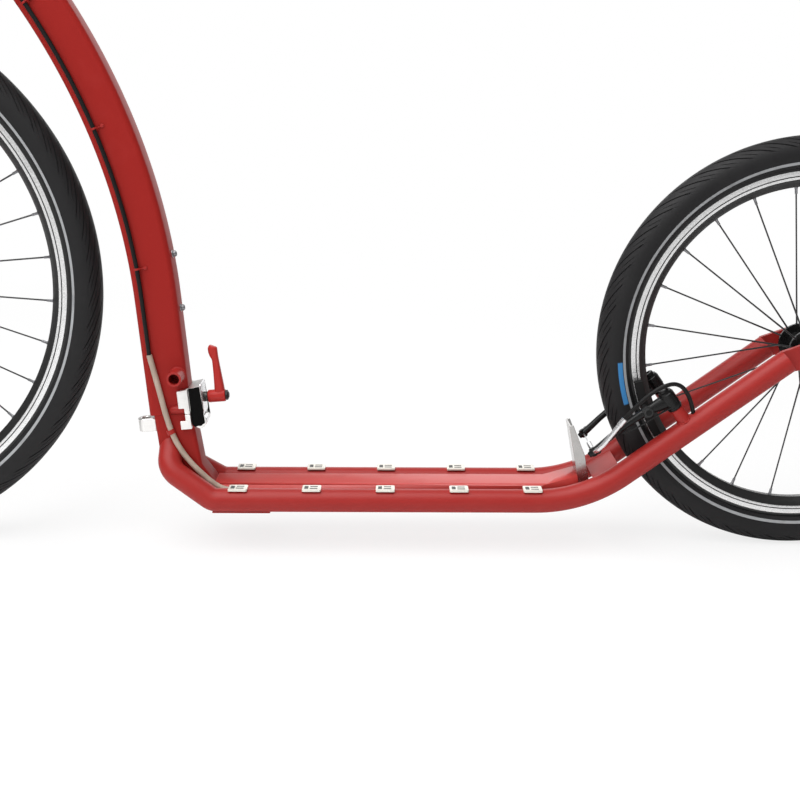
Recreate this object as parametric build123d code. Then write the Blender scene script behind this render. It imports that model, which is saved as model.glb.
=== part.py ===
"""Folding kick bike: a big front wheel, a small rear wheel and a low deck of two round tubes and a flat beam.

The main tube folds back over the deck on a cross pin behind the post. Sizes are in millimetres, +X is
forward, +Y is the rider's left and +Z is up. The origin is the middle of the deck's grip plates, where the
rider stands.
"""

import os
from math import atan2, cos, degrees, radians, sin, sqrt, tan

from build123d import *

# Wheels
GROUND_Z = -80.0
FRONT_AXLE_X = 653.0
WHEELBASE = 1148.0
REAR_WHEEL_R = 245.0
FRONT_WHEEL_R = 321.5
TYRE_W = 42.0
RIM_W = 24.0
RIM_WALL = 1.5
RIM_TRACK_H = 13.0
RIM_BED_H = 9.0
RIM_BED_HALF_W = 5.0
RIM_CHANNEL = 5.0
SPOKE_R = 1.0
SPOKE_ROOT = 1.0
REAR_SPOKES = 24
FRONT_SPOKES = 32
FLANGE_R = 23.0
FLANGE_T = 4.0
HUB_BARREL_R = 13.0
AXLE_R = 5.0
COLLAR_R = 8.0
COLLAR_T = 1.5
RUN = 0.05
SIDE_PLAY = 0.4
REAR_OLD = 80.0
REAR_FLANGE_Y = 20.0
FRONT_OLD = 100.0
FRONT_FLANGE_Y = 32.0
DROPOUT_T = 6.0
DROPOUT_R = 15.0
DROPOUT_ROOT_L = 26.0
DROPOUT_INSET = 4.0
DROPOUT_EDGE_R = 1.0
NUT_R = 9.0
NUT_H = 8.0
AXLE_STICK_OUT = 3.0

# Deck and rear stays
TUBE_R = 14.0
TRACK_Y = 42.0
PLATE_T = 2.0
PLATE_L = 22.5
PLATE_W = 19.0
PLATE_CORNER_R = 3.0
PLATE_FRONT_X = 174.8
PLATE_REAR_AHEAD = 320.2
PLATES_PER_ROW = 5
BEAM_W = 40.0
BEAM_H = 20.0
BEAM_EDGE_R = 2.5
BEAM_KINK_AHEAD = 38.0
BEAM_TIP_RISE = 10.0
BEAM_TIP_H = 17.0
SEAT = 0.4
FRONT_KNEE_X = 205.0
FRONT_RISE_X = 258.0
FRONT_RISE_Z = 19.0
FRONT_RISE_Y = 31.0
FRONT_TOP_Z = 50.0
FRONT_TOP_Y = 2.0
STAY_AHEAD = 150.0
STAY_Z = 66.0
STAY_ANGLE = 36.87
STAY_LENGTH = 150.0
FRONT_BEND_R = 20.0
TOP_BEND_R = 25.0
REAR_BEND_R = 170.0
SKID_FROM_X = 137.0
SKID_TO_X = 206.0
SKID_HALF_W = 46.0
SKID_T = 1.5
GUARD_AHEAD = 261.0
GUARD_LOW_Z = -8.0
GUARD_HEIGHT = 79.0
GUARD_HALF_W = 17.0
GUARD_DEPTH = 13.0
GUARD_TOP_DEPTH = 5.0
GUARD_LEAN = 10.7
GUARD_T = 2.0
BRIDGE_AHEAD = 229.0
BRIDGE_Z = 12.0
BRIDGE_L = 34.0
BRIDGE_T = 12.0
BRIDGE_SLOPE = 32.0

# Main tube and fold joint
CUT_X = 256.2
CUT_Z = 82.0
LEAN = 4.7
TUBE_DEPTH = 50.0
TUBE_WIDTH = 36.0
TUBE_CORNER_R = 9.0
POST_DEPTH = 45.0
POST_AHEAD = 1.0
POST_EDGE_R = 5.0
POST_TOE_X = 270.0
POST_TOE_Z = 26.0
POST_SOLE_X = 226.0
POST_HEEL_X = 221.0
POST_HEEL_Z = 20.0
POST_NAPE_X = 225.5
POST_NAPE_Z = 50.0
STRAIGHT_UP = 138.5
HEAD_JOIN_T = 460.4
CUT_GAP = 0.3
PIN_X = 220.5
PIN_Z = 72.0
PIN_R = 3.0
KNUCKLE_R = 6.0
LUG_HALF_W = 8.0
LEAF_HALF_W = 20.0
LEAF_T = 13.0
LEAF_TOP = 32.0
LEAF_SEAT = 0.5
LEAF_DROP = 17.0
LEAF_LIP = 2.5
LEAF_CHAMFER = 3.0
CHEEK_T = 6.0
CHEEK_D = 13.0
CHEEK_UP = 31.0
CHEEK_SLANT = 2.4
CHEEK_DOWN = 18.0
NOTCH_D = 6.5
NOTCH_HALF_H = 7.5
CATCH_R = 3.4
CATCH_UP = 3.9
CATCH_L = 15.0
SHEET_T = 1.5
SHEET_HALF_W = 15.0
SHEET_LOW = -3.0
SHEET_TOP = 34.0
STUD_UP = 19.0
STUD_R = 4.0
STUD_ROOT = 6.0
STUD_COLLAR_R = 6.2
STUD_COLLAR_L = 4.5
LEVER_R = 7.6
LEVER_HUB_L = 20.0
LEVER_TIP_L = 4.0
LEVER_INSET = 8.0
LEVER_LENGTH = 59.0
HANDLE_LOW_R = 6.0
HANDLE_TOP_R = 4.4
SOCKET_FORE = -15.0
SOCKET_UP = 48.0
SOCKET_R = 8.7
SOCKET_BORE_R = 6.25
SOCKET_FLOOR_Y = 18.5
SOCKET_END_Y = 43.0
BOSS_R = 5.0
BOSS_H = 5.0
BOSS_HOLE_R = 2.5
BOSS_UPS = (124.5, 186.5)
EYE_R = 10.0
EYE_REACH = 13.0
EYE_LOW = -21.0
EYE_TOP = -5.0
EYE_BORE_R = 5.5

# Steering
HEAD_ANGLE = 72.0
FORK_OFFSET = 45.0
CROWN_T = 384.0
CROWN_H = 24.0
CROWN_D = 34.0
RACE_H = 6.0
HEAD_LENGTH = 150.0
HEAD_R = 22.0
HEAD_STEP = 2.0
STEERER_R = 14.3
SPACER_H = 22.0
STEM_CLAMP_H = 38.0
STEM_CAP_H = 2.0
STEM_ARM_R = 15.0
STEM_EYE_R = 17.0
STEM_EYE_HALF_W = 24.0
STEM_RISE = 48.0
STEM_REACH = 62.0
LEG_R = 11.0
LEG_TOP_Y = 45.0
LEG_SPREAD = 5.0
LEG_KNEE_T = 140.0
LEG_BEND_R = 160.0
LEG_TIP_T = 26.0
LEG_TIP_BACK = 8.0
BAR_R = 11.1
BAR_HALF_W = 295.0
BAR_FLAT_Y = 40.0
BAR_KNEE_Y = 90.0
BAR_RISE = 40.0
BAR_TIP_RISE = 6.0
BAR_SWEEP = 22.0
BAR_BENDS = (40.0, 30.0, 30.0, 40.0)
GRIP_R = 16.0
GRIP_L = 128.0
GRIP_END = 4.0
LEVER_RING_R = 15.0
LEVER_RING_HALF_W = 9.0
LEVER_BODY_R = 9.0
LEVER_BODY_L = 34.0
BLADE_R = 5.0
BLADE_L = 105.0
BLADE_REACH = 46.0
BLADE_KNEE = 22.0
BLADE_BEND_R = 14.0
BLADE_TURN_IN = 2.0
LEVER_SPACE = 16.0
LEVER_DIP = 19.3
MOUTH_INSET = 11.0
MOUTH_REACH = 28.0

# Brakes and cables
PIVOT_Y = 42.0
REAR_PIVOT_ABOVE = 42.8
REAR_PIVOT_BACK = 14.6
FRONT_PIVOT_UP = 238.5
FRONT_PIVOT_FORE = 30.0
BOSS_POST_R = 8.0
REAR_POST_L = 34.0
FRONT_POST_L = 26.0
PIVOT_R = 4.0
PIVOT_HEAD_R = 6.5
PIVOT_HEAD_T = 4.0
ARM_LENGTH = 109.0
ARM_PIVOT_R = 9.0
ARM_END_R = 4.5
ARM_END_Y = 40.0
ARM_LUMP_R = 12.0
ARM_WAIST = 26.0
ARM_WAIST_R = 5.0
ARM_MIDDLE = 70.0
ARM_MIDDLE_R = 3.6
ARM_BOW = 4.0
PAD_T = 10.0
PAD_H = 9.0
PAD_L = 70.0
PAD_GAP = 1.5
PAD_DROP = 2.5
PAD_BOLT_R = 3.5
PAD_BOLT_ROOT = 1.0
LEAD_Y = 52.0
LEAD_BEND_R = 18.0
REAR_LEAD_STEP = (-52.0, 17.0)
FRONT_LEAD_STEP = (25.0, 30.0)
HOUSING_R = 2.5
SLEEVE_R = 3.4
WIRE_R = 1.2
CABLE_FORE = 13.5
CABLE_Y = 21.8
GAP_Y = 24.0
CABLE_Z = -10.0
CABLE_JOIN_X = 178.0
CABLE_HOLE_AHEAD = 255.0
CABLE_TURN = 30.0
SLEEVE_TOP = 75.0
CLIP_TURNS = (3.0, 16.0, 28.0)
CLIP_TURN = 0.2
CLIP_T = 1.5
# Each route has the points between its ends and the radius of its bend at each
SLEEVE_ROUTE = ((257, 22.6, 66), (234.5, 25, 26), (197, GAP_Y, CABLE_Z))
SLEEVE_BENDS = (120, 100, 40)
LOW_CLIP = ((256.3, 22.5, 65), (254.2, 22.6, 60))
HOLE_RUN_UP = 28.0
HOLE_DEPTH = 6.0
HOLE_RISE = 4.0
HOLE_BEND = 60
LOOP_LEAD = 42.0
LOOP_BACK = 46.0
LOOP_ABOVE = 53.0
LOOP_OUT = 8.0
LOOP_END_BACK = 25.0
LOOP_BENDS = (38, 22)
STEER_LEAD = 45.0
STEER_ROUTE = ((500, 46, 690), (528, 20, 790))
STEER_MOUTH = (22, 0, -10)
STEER_BENDS = (80, 60, 60, 36)
FRONT_LEAD = 60.0
FRONT_ROUTE = ((540, -40, 760),)
FRONT_MOUTH = (30, 0, -10)
FRONT_BENDS = (60, 70, 36)
MOUTH_LEAD = 45.0

REAR_AXLE = Vector(FRONT_AXLE_X - WHEELBASE, 0, GROUND_Z + REAR_WHEEL_R)
FRONT_AXLE = Vector(FRONT_AXLE_X, 0, GROUND_Z + FRONT_WHEEL_R)
HEAD_LOW_T = CROWN_T + CROWN_H / 2 + RACE_H
HEAD_HIGH_T = HEAD_LOW_T + HEAD_LENGTH
STEM_LOW_T = HEAD_HIGH_T + SPACER_H
STEERER_TOP_T = STEM_LOW_T + STEM_CLAMP_H
STAY_X = REAR_AXLE.X + STAY_AHEAD
DECK_Z = -PLATE_T - TUBE_R
BEAM_LOW_Z = -PLATE_T - BEAM_H
POST_REAR_X = FRONT_KNEE_X + POST_AHEAD
STAY_DIR = Vector(-cos(radians(STAY_ANGLE)), 0, sin(radians(STAY_ANGLE)))
STAY_UP = Vector(sin(radians(STAY_ANGLE)), 0, cos(radians(STAY_ANGLE)))
LEAN_UP = Vector(sin(radians(LEAN)), 0, cos(radians(LEAN)))
LEAN_FORE = Vector(cos(radians(LEAN)), 0, -sin(radians(LEAN)))
HEAD_UP = Vector(-cos(radians(HEAD_ANGLE)), 0, sin(radians(HEAD_ANGLE)))
HEAD_FORE = Vector(sin(radians(HEAD_ANGLE)), 0, cos(radians(HEAD_ANGLE)))
HEAD_FOOT = FRONT_AXLE - HEAD_FORE * FORK_OFFSET
LEVER_FORE = Vector(cos(radians(LEVER_DIP)), 0, -sin(radians(LEVER_DIP)))
CUT = Vector(CUT_X, 0, CUT_Z)
TUBE_BACK = -TUBE_DEPTH / 2
POST_FRONT = TUBE_BACK + POST_DEPTH
LEAF_FACE = TUBE_BACK - LEAF_SEAT - LEAF_T
SIDES = {"left": 1, "right": -1}
CABLE_ENDS = (("rear_cable_deck", "left_deck_tube"), ("rear_cable_loop", "left_deck_tube"),
              ("rear_cable_sleeve", "rear_cable_upper"), ("rear_cable_steer", "brake_levers"),
              ("front_cable", "brake_levers"))

# The main tube's arc leaves its straight end smoothly and meets the steering axis
ARC_FOOT = CUT + LEAN_UP * STRAIGHT_UP
ARC_SPAN = HEAD_FOOT + HEAD_UP * HEAD_JOIN_T - ARC_FOOT
ARC_R = ARC_SPAN.dot(ARC_SPAN) / (2 * ARC_SPAN.dot(LEAN_FORE))
ARC_SWEEP = 2 * degrees(atan2(ARC_SPAN.dot(LEAN_FORE), ARC_SPAN.dot(LEAN_UP)))


def across(half):
    """Sideways step to the left."""
    return Vector(0, half, 0)


def rod(start, end, radius):
    """Round bar between two points."""
    start, end = Vector(start), Vector(end)
    return Solid.make_cylinder(radius, (end - start).length, Plane(origin=start, z_dir=end - start))


def cross_rod(centre, half, radius):
    """Round bar straight across the bike."""
    return rod(Vector(centre) - across(half), Vector(centre) + across(half), radius)


def pipe(points, bends, radius):
    """Round bar along a line whose corners are rounded."""
    path = FilletPolyline(*points, radius=bends)
    return sweep(Plane(origin=path @ 0, z_dir=path % 0) * Circle(radius), path=path)


def side_plate(points, low_y, high_y):
    """Plate with an outline in the side view, from one Y to another."""
    outline = make_face(Polyline(*[(x, 0, z) for x, z in points], close=True))
    return Pos(0, low_y, 0) * extrude(outline, high_y - low_y, dir=(0, 1, 0))


def on_tube(fore, side, up):
    """Point given from the tube's middle at the cut: forward, left and up along the leaning tube."""
    return CUT + LEAN_FORE * fore + across(side) + LEAN_UP * up


def on_fork(fore, side, up):
    """Point given from the foot of the steering axis: forward, left and up along the axis."""
    return HEAD_FOOT + HEAD_FORE * fore + across(side) + HEAD_UP * up


def on_stay(back, side, above):
    """Point given from the stays' start: back along them, left and square above them."""
    return Vector(STAY_X, 0, STAY_Z) + STAY_DIR * back + across(side) + STAY_UP * above


def on_guard(back, up):
    """Side view point given from the heel guard's front foot: back from its face and up along it."""
    lean = radians(GUARD_LEAN)
    foot_x = REAR_AXLE.X + GUARD_AHEAD
    return (foot_x - back * cos(lean) + up * sin(lean), GUARD_LOW_Z + back * sin(lean) + up * cos(lean))


def on_arc(fore, side, turn):
    """Point beside the bent part of the main tube, at an angle from its start."""
    middle = ARC_FOOT + LEAN_FORE * ARC_R
    angle = radians(LEAN + turn)
    return middle + across(side) + Vector(-cos(angle), 0, sin(angle)) * (ARC_R - fore)


def tube_plate(points, low_y, high_y):
    """Plate with an outline along the leaning tube, each point forward and up from the cut."""
    placed = [on_tube(fore, 0, up) for fore, up in points]
    return side_plate([(p.X, p.Z) for p in placed], low_y, high_y)


def tube_box(fore, side, up):
    """Box along the leaning tube, each size given from low to high."""
    corners = [(fore[0], up[0]), (fore[1], up[0]), (fore[1], up[1]), (fore[0], up[1])]
    return tube_plate(corners, *side)


def group(shapes):
    """One piece made of several solids."""
    return Compound(children=[solid for shape in shapes for solid in shape.solids()])


def both_sides(shape):
    """The piece and its mirror image across the middle plane."""
    return group([shape, mirror(shape, about=Plane.XZ)])


def around(axle, points):
    """Solid of revolution about an axle; points are radius and side."""
    section = make_face(Polyline(*[(axle.X + r, y, axle.Z) for r, y in points], close=True))
    return revolve(section, Axis((axle.X, 0, axle.Z), (0, 1, 0)))


def rim_points(bead):
    """Rim section: tyre channel, brake tracks and spoke bed."""
    half, inner = RIM_W / 2, RIM_W / 2 - RIM_WALL
    top, low = bead + RIM_TRACK_H / 2, bead - RIM_TRACK_H / 2
    floor = top - RIM_CHANNEL
    bed = low - RIM_BED_H
    return [(top, half), (low, half), (bed, RIM_BED_HALF_W), (bed, -RIM_BED_HALF_W), (low, -half), (top, -half),
            (top, -inner), (floor, -inner), (floor, inner), (top, inner)]


def tyre(axle, wheel_r):
    """Round tyre seated in its rim."""
    bead, half, channel = wheel_r - TYRE_W, TYRE_W / 2, RIM_W - 2 * RIM_WALL
    middle = wheel_r - half
    seat_r = bead + RIM_TRACK_H / 2 - RIM_CHANNEL
    plane = Plane(origin=axle, x_dir=(1, 0, 0), z_dir=(0, 0, 1))
    foot = Pos((seat_r + middle) / 2, 0) * Rectangle(middle - seat_r, channel)
    section = Pos(middle, 0) * Circle(half) + foot
    section -= Pos(seat_r - half, 0) * Rectangle(2 * half, 4 * half)
    section -= Pos(bead, 0) * Rectangle(RIM_TRACK_H, 4 * half) - foot
    return revolve(plane * section, Axis((axle.X, 0, axle.Z), (0, 1, 0)))


def hub(axle, old, flange):
    """Hub shell with two spoke flanges, turning on its axle."""
    end = old / 2 - COLLAR_T - SIDE_PLAY
    side = [(HUB_BARREL_R, flange - FLANGE_T), (FLANGE_R, flange - FLANGE_T / 2), (FLANGE_R, flange + FLANGE_T / 2),
            (HUB_BARREL_R, flange + FLANGE_T), (HUB_BARREL_R, end)]
    profile = list(reversed(side)) + [(r, -y) for r, y in side]
    return around(axle, [(AXLE_R + RUN, end)] + profile + [(AXLE_R + RUN, -end)])


def spokes(axle, wheel_r, count, flange, rim, shell):
    """Straight spokes from the hub flanges to the rim bed, left and right in turn."""
    start_r = FLANGE_R - SPOKE_ROOT
    end_r = wheel_r - TYRE_W - RIM_TRACK_H / 2 - RIM_BED_H + SPOKE_ROOT
    made = []
    for k in range(count):
        start, end = Vector(start_r, flange if k % 2 else -flange, 0), Vector(end_r, 0, 0)
        section = Plane(origin=start, z_dir=end - start) * RegularPolygon(SPOKE_R, 6)
        bar = extrude(section, (end - start).length)
        made.append(Pos(*axle) * Rot(0, 360 * (k + 0.5) / count, 0) * bar)
    return group([bar - shell - rim for bar in made])


def wheel(name, axle, wheel_r, count, old, flange):
    """The pieces of one wheel, with the fixed axle it turns on."""
    rim = around(axle, rim_points(wheel_r - TYRE_W))
    shell = hub(axle, old, flange)
    inner, outer = old / 2, old / 2 + DROPOUT_T
    bar = cross_rod(axle, outer + NUT_H + AXLE_STICK_OUT, AXLE_R)
    collar = rod(axle + across(inner - COLLAR_T), axle + across(inner), COLLAR_R)
    nut = extrude(Plane(origin=axle + across(outer), z_dir=(0, 1, 0)) * RegularPolygon(NUT_R, 6), NUT_H)
    ends = collar + nut
    return {f"{name}_tyre": tyre(axle, wheel_r), f"{name}_rim": rim, f"{name}_hub": shell,
            f"{name}_spokes": spokes(axle, wheel_r, count, flange, rim, shell),
            f"{name}_axle": bar + ends + mirror(ends, about=Plane.XZ)}


def deck_tube(side):
    """One side tube: beside the post, along the deck, up to the rear axle."""
    knee_x = STAY_X + (STAY_Z - DECK_Z) / tan(radians(STAY_ANGLE))
    top_y, rise_y, deck_y = side * FRONT_TOP_Y, side * FRONT_RISE_Y, side * TRACK_Y
    points = [(FRONT_RISE_X, top_y, FRONT_TOP_Z), (FRONT_RISE_X, rise_y, FRONT_RISE_Z),
              (FRONT_KNEE_X, deck_y, DECK_Z), (knee_x, deck_y, DECK_Z), on_stay(STAY_LENGTH, deck_y, 0)]
    return pipe(points, [TOP_BEND_R, FRONT_BEND_R, REAR_BEND_R], TUBE_R)


def dropout(side, tube):
    """Flat dropout plate at the end of a stay, round about the axle."""
    low, high = DROPOUT_INSET - TUBE_R, TUBE_R - DROPOUT_INSET
    root = [on_stay(STAY_LENGTH - DROPOUT_ROOT_L, 0, above) for above in (high, low)]
    edge = TUBE_R - DROPOUT_EDGE_R
    end = [on_stay(STAY_LENGTH, 0, above) for above in (-edge, edge)]
    near, far = sorted((side * REAR_OLD / 2, side * (REAR_OLD / 2 + DROPOUT_T)))
    plate = side_plate([(p.X, p.Z) for p in root + end], near, far)
    corners = [(p.X, p.Z) for p in end]
    lobe = link(corners[0], DROPOUT_EDGE_R, corners[1], DROPOUT_EDGE_R, (REAR_AXLE.X, REAR_AXLE.Z), DROPOUT_R)
    lobe = Pos(0, near, 0) * extrude(Plane.XZ * lobe, -(far - near))
    return plate + lobe - tube - cross_rod(REAR_AXLE, 2 * REAR_OLD, AXLE_R)


def link(*rounds):
    """Flat bar wrapped tightly round some circles, given as middle and radius in turn."""
    circles = [Pos(*middle) * Circle(radius) for middle, radius in zip(rounds[::2], rounds[1::2])]
    return make_hull([edge for circle in circles for edge in circle.edges()])


def beam():
    """Flat centre beam, turned up at its rear end against the heel guard."""
    top = -PLATE_T
    kink_x = REAR_AXLE.X + GUARD_AHEAD + BEAM_KINK_AHEAD
    tip_z = top + BEAM_TIP_RISE
    tip = [on_guard(0, (z - GUARD_LOW_Z) / cos(radians(GUARD_LEAN))) for z in (tip_z, tip_z - BEAM_TIP_H)]
    outline = [(POST_REAR_X, top), (kink_x, top), *tip, (kink_x - BEAM_H / 4, BEAM_LOW_Z),
               (POST_REAR_X, BEAM_LOW_Z)]
    body = side_plate(outline, -BEAM_W / 2, BEAM_W / 2)
    long_edges = body.edges().filter_by(Axis.X).filter_by(lambda e: abs(e.center().Y) > BEAM_W / 4)
    return fillet(long_edges, BEAM_EDGE_R)


def post():
    """Lower half of the folding tube, flared into the deck, with the pin's lug at its back."""
    top_rear, top_front = on_tube(TUBE_BACK, 0, 0), on_tube(POST_FRONT, 0, 0)
    outline = [(top_front.X, top_front.Z), (POST_TOE_X, POST_TOE_Z), (POST_SOLE_X, BEAM_LOW_Z),
               (POST_REAR_X, BEAM_LOW_Z), (POST_REAR_X, -PLATE_T), (POST_HEEL_X, POST_HEEL_Z),
               (POST_NAPE_X, POST_NAPE_Z), (top_rear.X, top_rear.Z)]
    half = TUBE_WIDTH / 2
    body = side_plate(outline, -half, half)
    rims = body.edges().filter_by(lambda e: abs(e.center().Y) > half / 2 and e.center().Z > -PLATE_T)
    body = fillet(rims.filter_by(lambda e: abs((e @ 1 - e @ 0).normalized().Z) > 0.5), POST_EDGE_R)
    foot = on_tube(TUBE_BACK + CUT_GAP, 0, -KNUCKLE_R - 2 * CUT_GAP)
    web = [(PIN_X, PIN_Z + KNUCKLE_R), (foot.X, foot.Z), (foot.X, foot.Z - 2 * KNUCKLE_R),
           (PIN_X, PIN_Z - KNUCKLE_R)]
    pin = (PIN_X, 0, PIN_Z)
    lug = side_plate(web, -LUG_HALF_W, LUG_HALF_W) + cross_rod(pin, LUG_HALF_W, KNUCKLE_R)
    return body + lug - cross_rod(pin, TUBE_WIDTH, PIN_R + RUN)


def heel_guard():
    """Upright sheet channel before the rear wheel: a web with two tapered flanges turned back."""
    top, half = GUARD_HEIGHT, GUARD_HALF_W
    web = [on_guard(0, 0), on_guard(0, top), on_guard(GUARD_T, top), on_guard(GUARD_T, 0)]
    flange = [on_guard(0, 0), on_guard(0, top), on_guard(GUARD_TOP_DEPTH, top), on_guard(GUARD_DEPTH, top / 2),
              on_guard(GUARD_DEPTH, 0)]
    return side_plate(web, -half, half) + both_sides(side_plate(flange, half - GUARD_T, half))


def grip_plates(tubes):
    """Two rows of grip plates on the side tubes."""
    blank = extrude(RectangleRounded(PLATE_L, PLATE_W, PLATE_CORNER_R), -PLATE_T - SEAT)
    rear_x = REAR_AXLE.X + PLATE_REAR_AHEAD
    pitch = (PLATE_FRONT_X - rear_x) / (PLATES_PER_ROW - 1)
    steps = [rear_x + k * pitch for k in range(PLATES_PER_ROW)]
    return group([Pos(x, side * TRACK_Y, 0) * blank - tubes for side in SIDES.values() for x in steps])


def tow_eye():
    """Small round eye with an upright hole before the post."""
    middle = POST_FRONT + EYE_REACH
    body = tube_box((POST_FRONT, middle), (-EYE_R, EYE_R), (EYE_LOW, EYE_TOP))
    body += rod(on_tube(middle, 0, EYE_LOW), on_tube(middle, 0, EYE_TOP), EYE_R)
    return body - rod(on_tube(middle, 0, EYE_LOW), on_tube(middle, 0, EYE_TOP), EYE_BORE_R)


def deck():
    """The fixed frame's tubes, plates and post."""
    made = {"hinge_post": post(), "centre_deck_beam": beam()}
    for side, sign in SIDES.items():
        made[f"{side}_deck_tube"] = deck_tube(sign) - made["hinge_post"]
    tubes = made["left_deck_tube"] + made["right_deck_tube"]
    made["heel_guard"] = heel_guard()
    bridge = Rot(0, BRIDGE_SLOPE, 0) * Box(BRIDGE_L, 2 * TRACK_Y, BRIDGE_T)
    bridge = Pos(REAR_AXLE.X + BRIDGE_AHEAD, 0, BRIDGE_Z) * bridge
    tyre_space = cross_rod(REAR_AXLE, TYRE_W / 2 + PAD_GAP, REAR_WHEEL_R + PAD_GAP)
    made["rear_bridge"] = bridge - tubes - made["centre_deck_beam"] - made["heel_guard"] - tyre_space
    made["grip_plates"] = grip_plates(tubes)
    ends = (Align.MIN, Align.CENTER, Align.MAX)
    skid = Box(SKID_TO_X - SKID_FROM_X, 2 * SKID_HALF_W, SKID_T + SEAT, align=ends)
    made["skid_plate"] = Pos(SKID_FROM_X, 0, DECK_Z - TUBE_R + SEAT) * skid - tubes
    made["rear_dropouts"] = group([dropout(sign, tubes) for sign in SIDES.values()])
    made["tow_eye"] = tow_eye()
    return made


def main_tube():
    """Main tube: straight out of the joint, then one arc to the head tube."""
    start = on_tube(0, 0, CUT_GAP)
    bend = ThreePointArc(ARC_FOOT, on_arc(0, 0, ARC_SWEEP / 2), on_arc(0, 0, ARC_SWEEP))
    path = Wire([*Line(start, ARC_FOOT).edges(), *bend.edges()])
    plane = Plane(origin=start, x_dir=LEAN_FORE, z_dir=LEAN_UP)
    return sweep(plane * RectangleRounded(TUBE_DEPTH, TUBE_WIDTH, TUBE_CORNER_R), path=path)


def bottle_boss(up, tube):
    """Threaded boss for a bottle holder, standing on the back of the main tube."""
    if up > STRAIGHT_UP:
        turn = degrees((up - STRAIGHT_UP) / ARC_R)
        foot, end = on_arc(TUBE_BACK + SEAT, 0, turn), on_arc(TUBE_BACK - BOSS_H, 0, turn)
    else:
        foot, end = on_tube(TUBE_BACK + SEAT, 0, up), on_tube(TUBE_BACK - BOSS_H, 0, up)
    return rod(foot, end, BOSS_R) - rod(foot, end, BOSS_HOLE_R) - tube


def front_frame():
    """Main tube, head tube and the folding clamp."""
    head = rod(on_fork(0, 0, HEAD_LOW_T), on_fork(0, 0, HEAD_HIGH_T), HEAD_R)
    bore = rod(on_fork(0, 0, HEAD_LOW_T), on_fork(0, 0, HEAD_HIGH_T), STEERER_R + RUN)
    made = clamp()
    made["head_tube"] = head - bore
    tube = main_tube() - head
    made["bottle_bosses"] = group([bottle_boss(up, tube) for up in BOSS_UPS])
    steps = (TUBE_WIDTH / 4, SOCKET_FLOOR_Y, SOCKET_END_Y)
    root, floor, mouth = (on_tube(SOCKET_FORE, y, SOCKET_UP) for y in steps)
    made["side_socket"] = rod(root, mouth, SOCKET_R) - rod(floor, mouth, SOCKET_BORE_R) - tube
    catch_fore = TUBE_BACK + CHEEK_D - NOTCH_D
    catch = [on_tube(catch_fore + step, TUBE_WIDTH / 2, CATCH_UP) for step in (0, CATCH_L)]
    tube += both_sides(rod(*catch, CATCH_R))
    made["main_tube"] = tube - made["clamp_stud"] - made["upper_clamp_cheeks"] - below_cut()
    return made


def below_cut():
    """Space under the fold's cut."""
    reach = 2 * TUBE_DEPTH
    return tube_box((-reach, reach), (-reach, reach), (-reach, CUT_GAP))


def clamp():
    """Cheeks beside both tube ends, the hinge leaf behind them, its pin and the clamp lever."""
    made = {}
    inner, outer = TUBE_WIDTH / 2, TUBE_WIDTH / 2 + CHEEK_T
    back, front = TUBE_BACK, TUBE_BACK + CHEEK_D
    notch = tube_box((front - NOTCH_D, front), (inner, outer), (-NOTCH_HALF_H, NOTCH_HALF_H))
    for name, low, high, slant in (("upper", CUT_GAP, CHEEK_UP, CHEEK_SLANT), ("lower", -CHEEK_DOWN, 0, 0)):
        cheek = tube_plate([(back, low), (front, low), (front, high - slant), (back, high)], inner, outer)
        made[f"{name}_clamp_cheeks"] = both_sides(cheek - notch)
    pin = (PIN_X, 0, PIN_Z)
    made["hinge_pin"] = cross_rod(pin, LEAF_HALF_W, PIN_R)
    stud_end = LEAF_FACE - SHEET_T - STUD_COLLAR_L - LEVER_HUB_L - LEVER_TIP_L
    stud = rod(on_tube(back + STUD_ROOT, 0, STUD_UP), on_tube(stud_end, 0, STUD_UP), STUD_R)
    seat = back - LEAF_SEAT - SHEET_T
    leaf = tube_plate([(LEAF_FACE, -LEAF_DROP), (seat - LEAF_CHAMFER, -LEAF_DROP), (seat, LEAF_CHAMFER - LEAF_DROP),
                       (seat, LEAF_LIP), (back, LEAF_LIP), (back, LEAF_TOP - CHEEK_SLANT / 2),
                       (LEAF_FACE, LEAF_TOP)], -LEAF_HALF_W, LEAF_HALF_W)
    leaf += cross_rod(pin, LEAF_HALF_W, KNUCKLE_R)
    space = Pos(*pin) * Box(4 * KNUCKLE_R, 2 * LUG_HALF_W + 4 * CUT_GAP, 4.3 * KNUCKLE_R)
    made["clamp_leaf"] = leaf - space - made["hinge_pin"] - stud
    sheet_back = LEAF_FACE - SHEET_T
    sheet = tube_box((sheet_back, LEAF_FACE), (-SHEET_HALF_W, SHEET_HALF_W), (SHEET_LOW, SHEET_TOP))
    collar_end = sheet_back - STUD_COLLAR_L
    collar = rod(on_tube(sheet_back, 0, STUD_UP), on_tube(collar_end, 0, STUD_UP), STUD_COLLAR_R)
    made["clamp_stud"] = stud + sheet + collar
    made["clamp_lever"] = clamp_lever(collar_end) - made["clamp_stud"]
    return made


def clamp_lever(start):
    """Clamp lever: a hub on the stud and a tapered handle with a round tip."""
    hub_end = start - LEVER_HUB_L
    lever = rod(on_tube(start, 0, STUD_UP), on_tube(hub_end, 0, STUD_UP), LEVER_R)
    foot = on_tube(hub_end + LEVER_INSET, 0, STUD_UP)
    length = LEVER_LENGTH - HANDLE_TOP_R
    handle = Cone(HANDLE_LOW_R, HANDLE_TOP_R, length, align=(Align.CENTER, Align.CENTER, Align.MIN))
    handle += Pos(0, 0, length) * Sphere(HANDLE_TOP_R)
    return lever + Plane(origin=foot, x_dir=LEAN_FORE, z_dir=LEAN_UP) * handle


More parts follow.
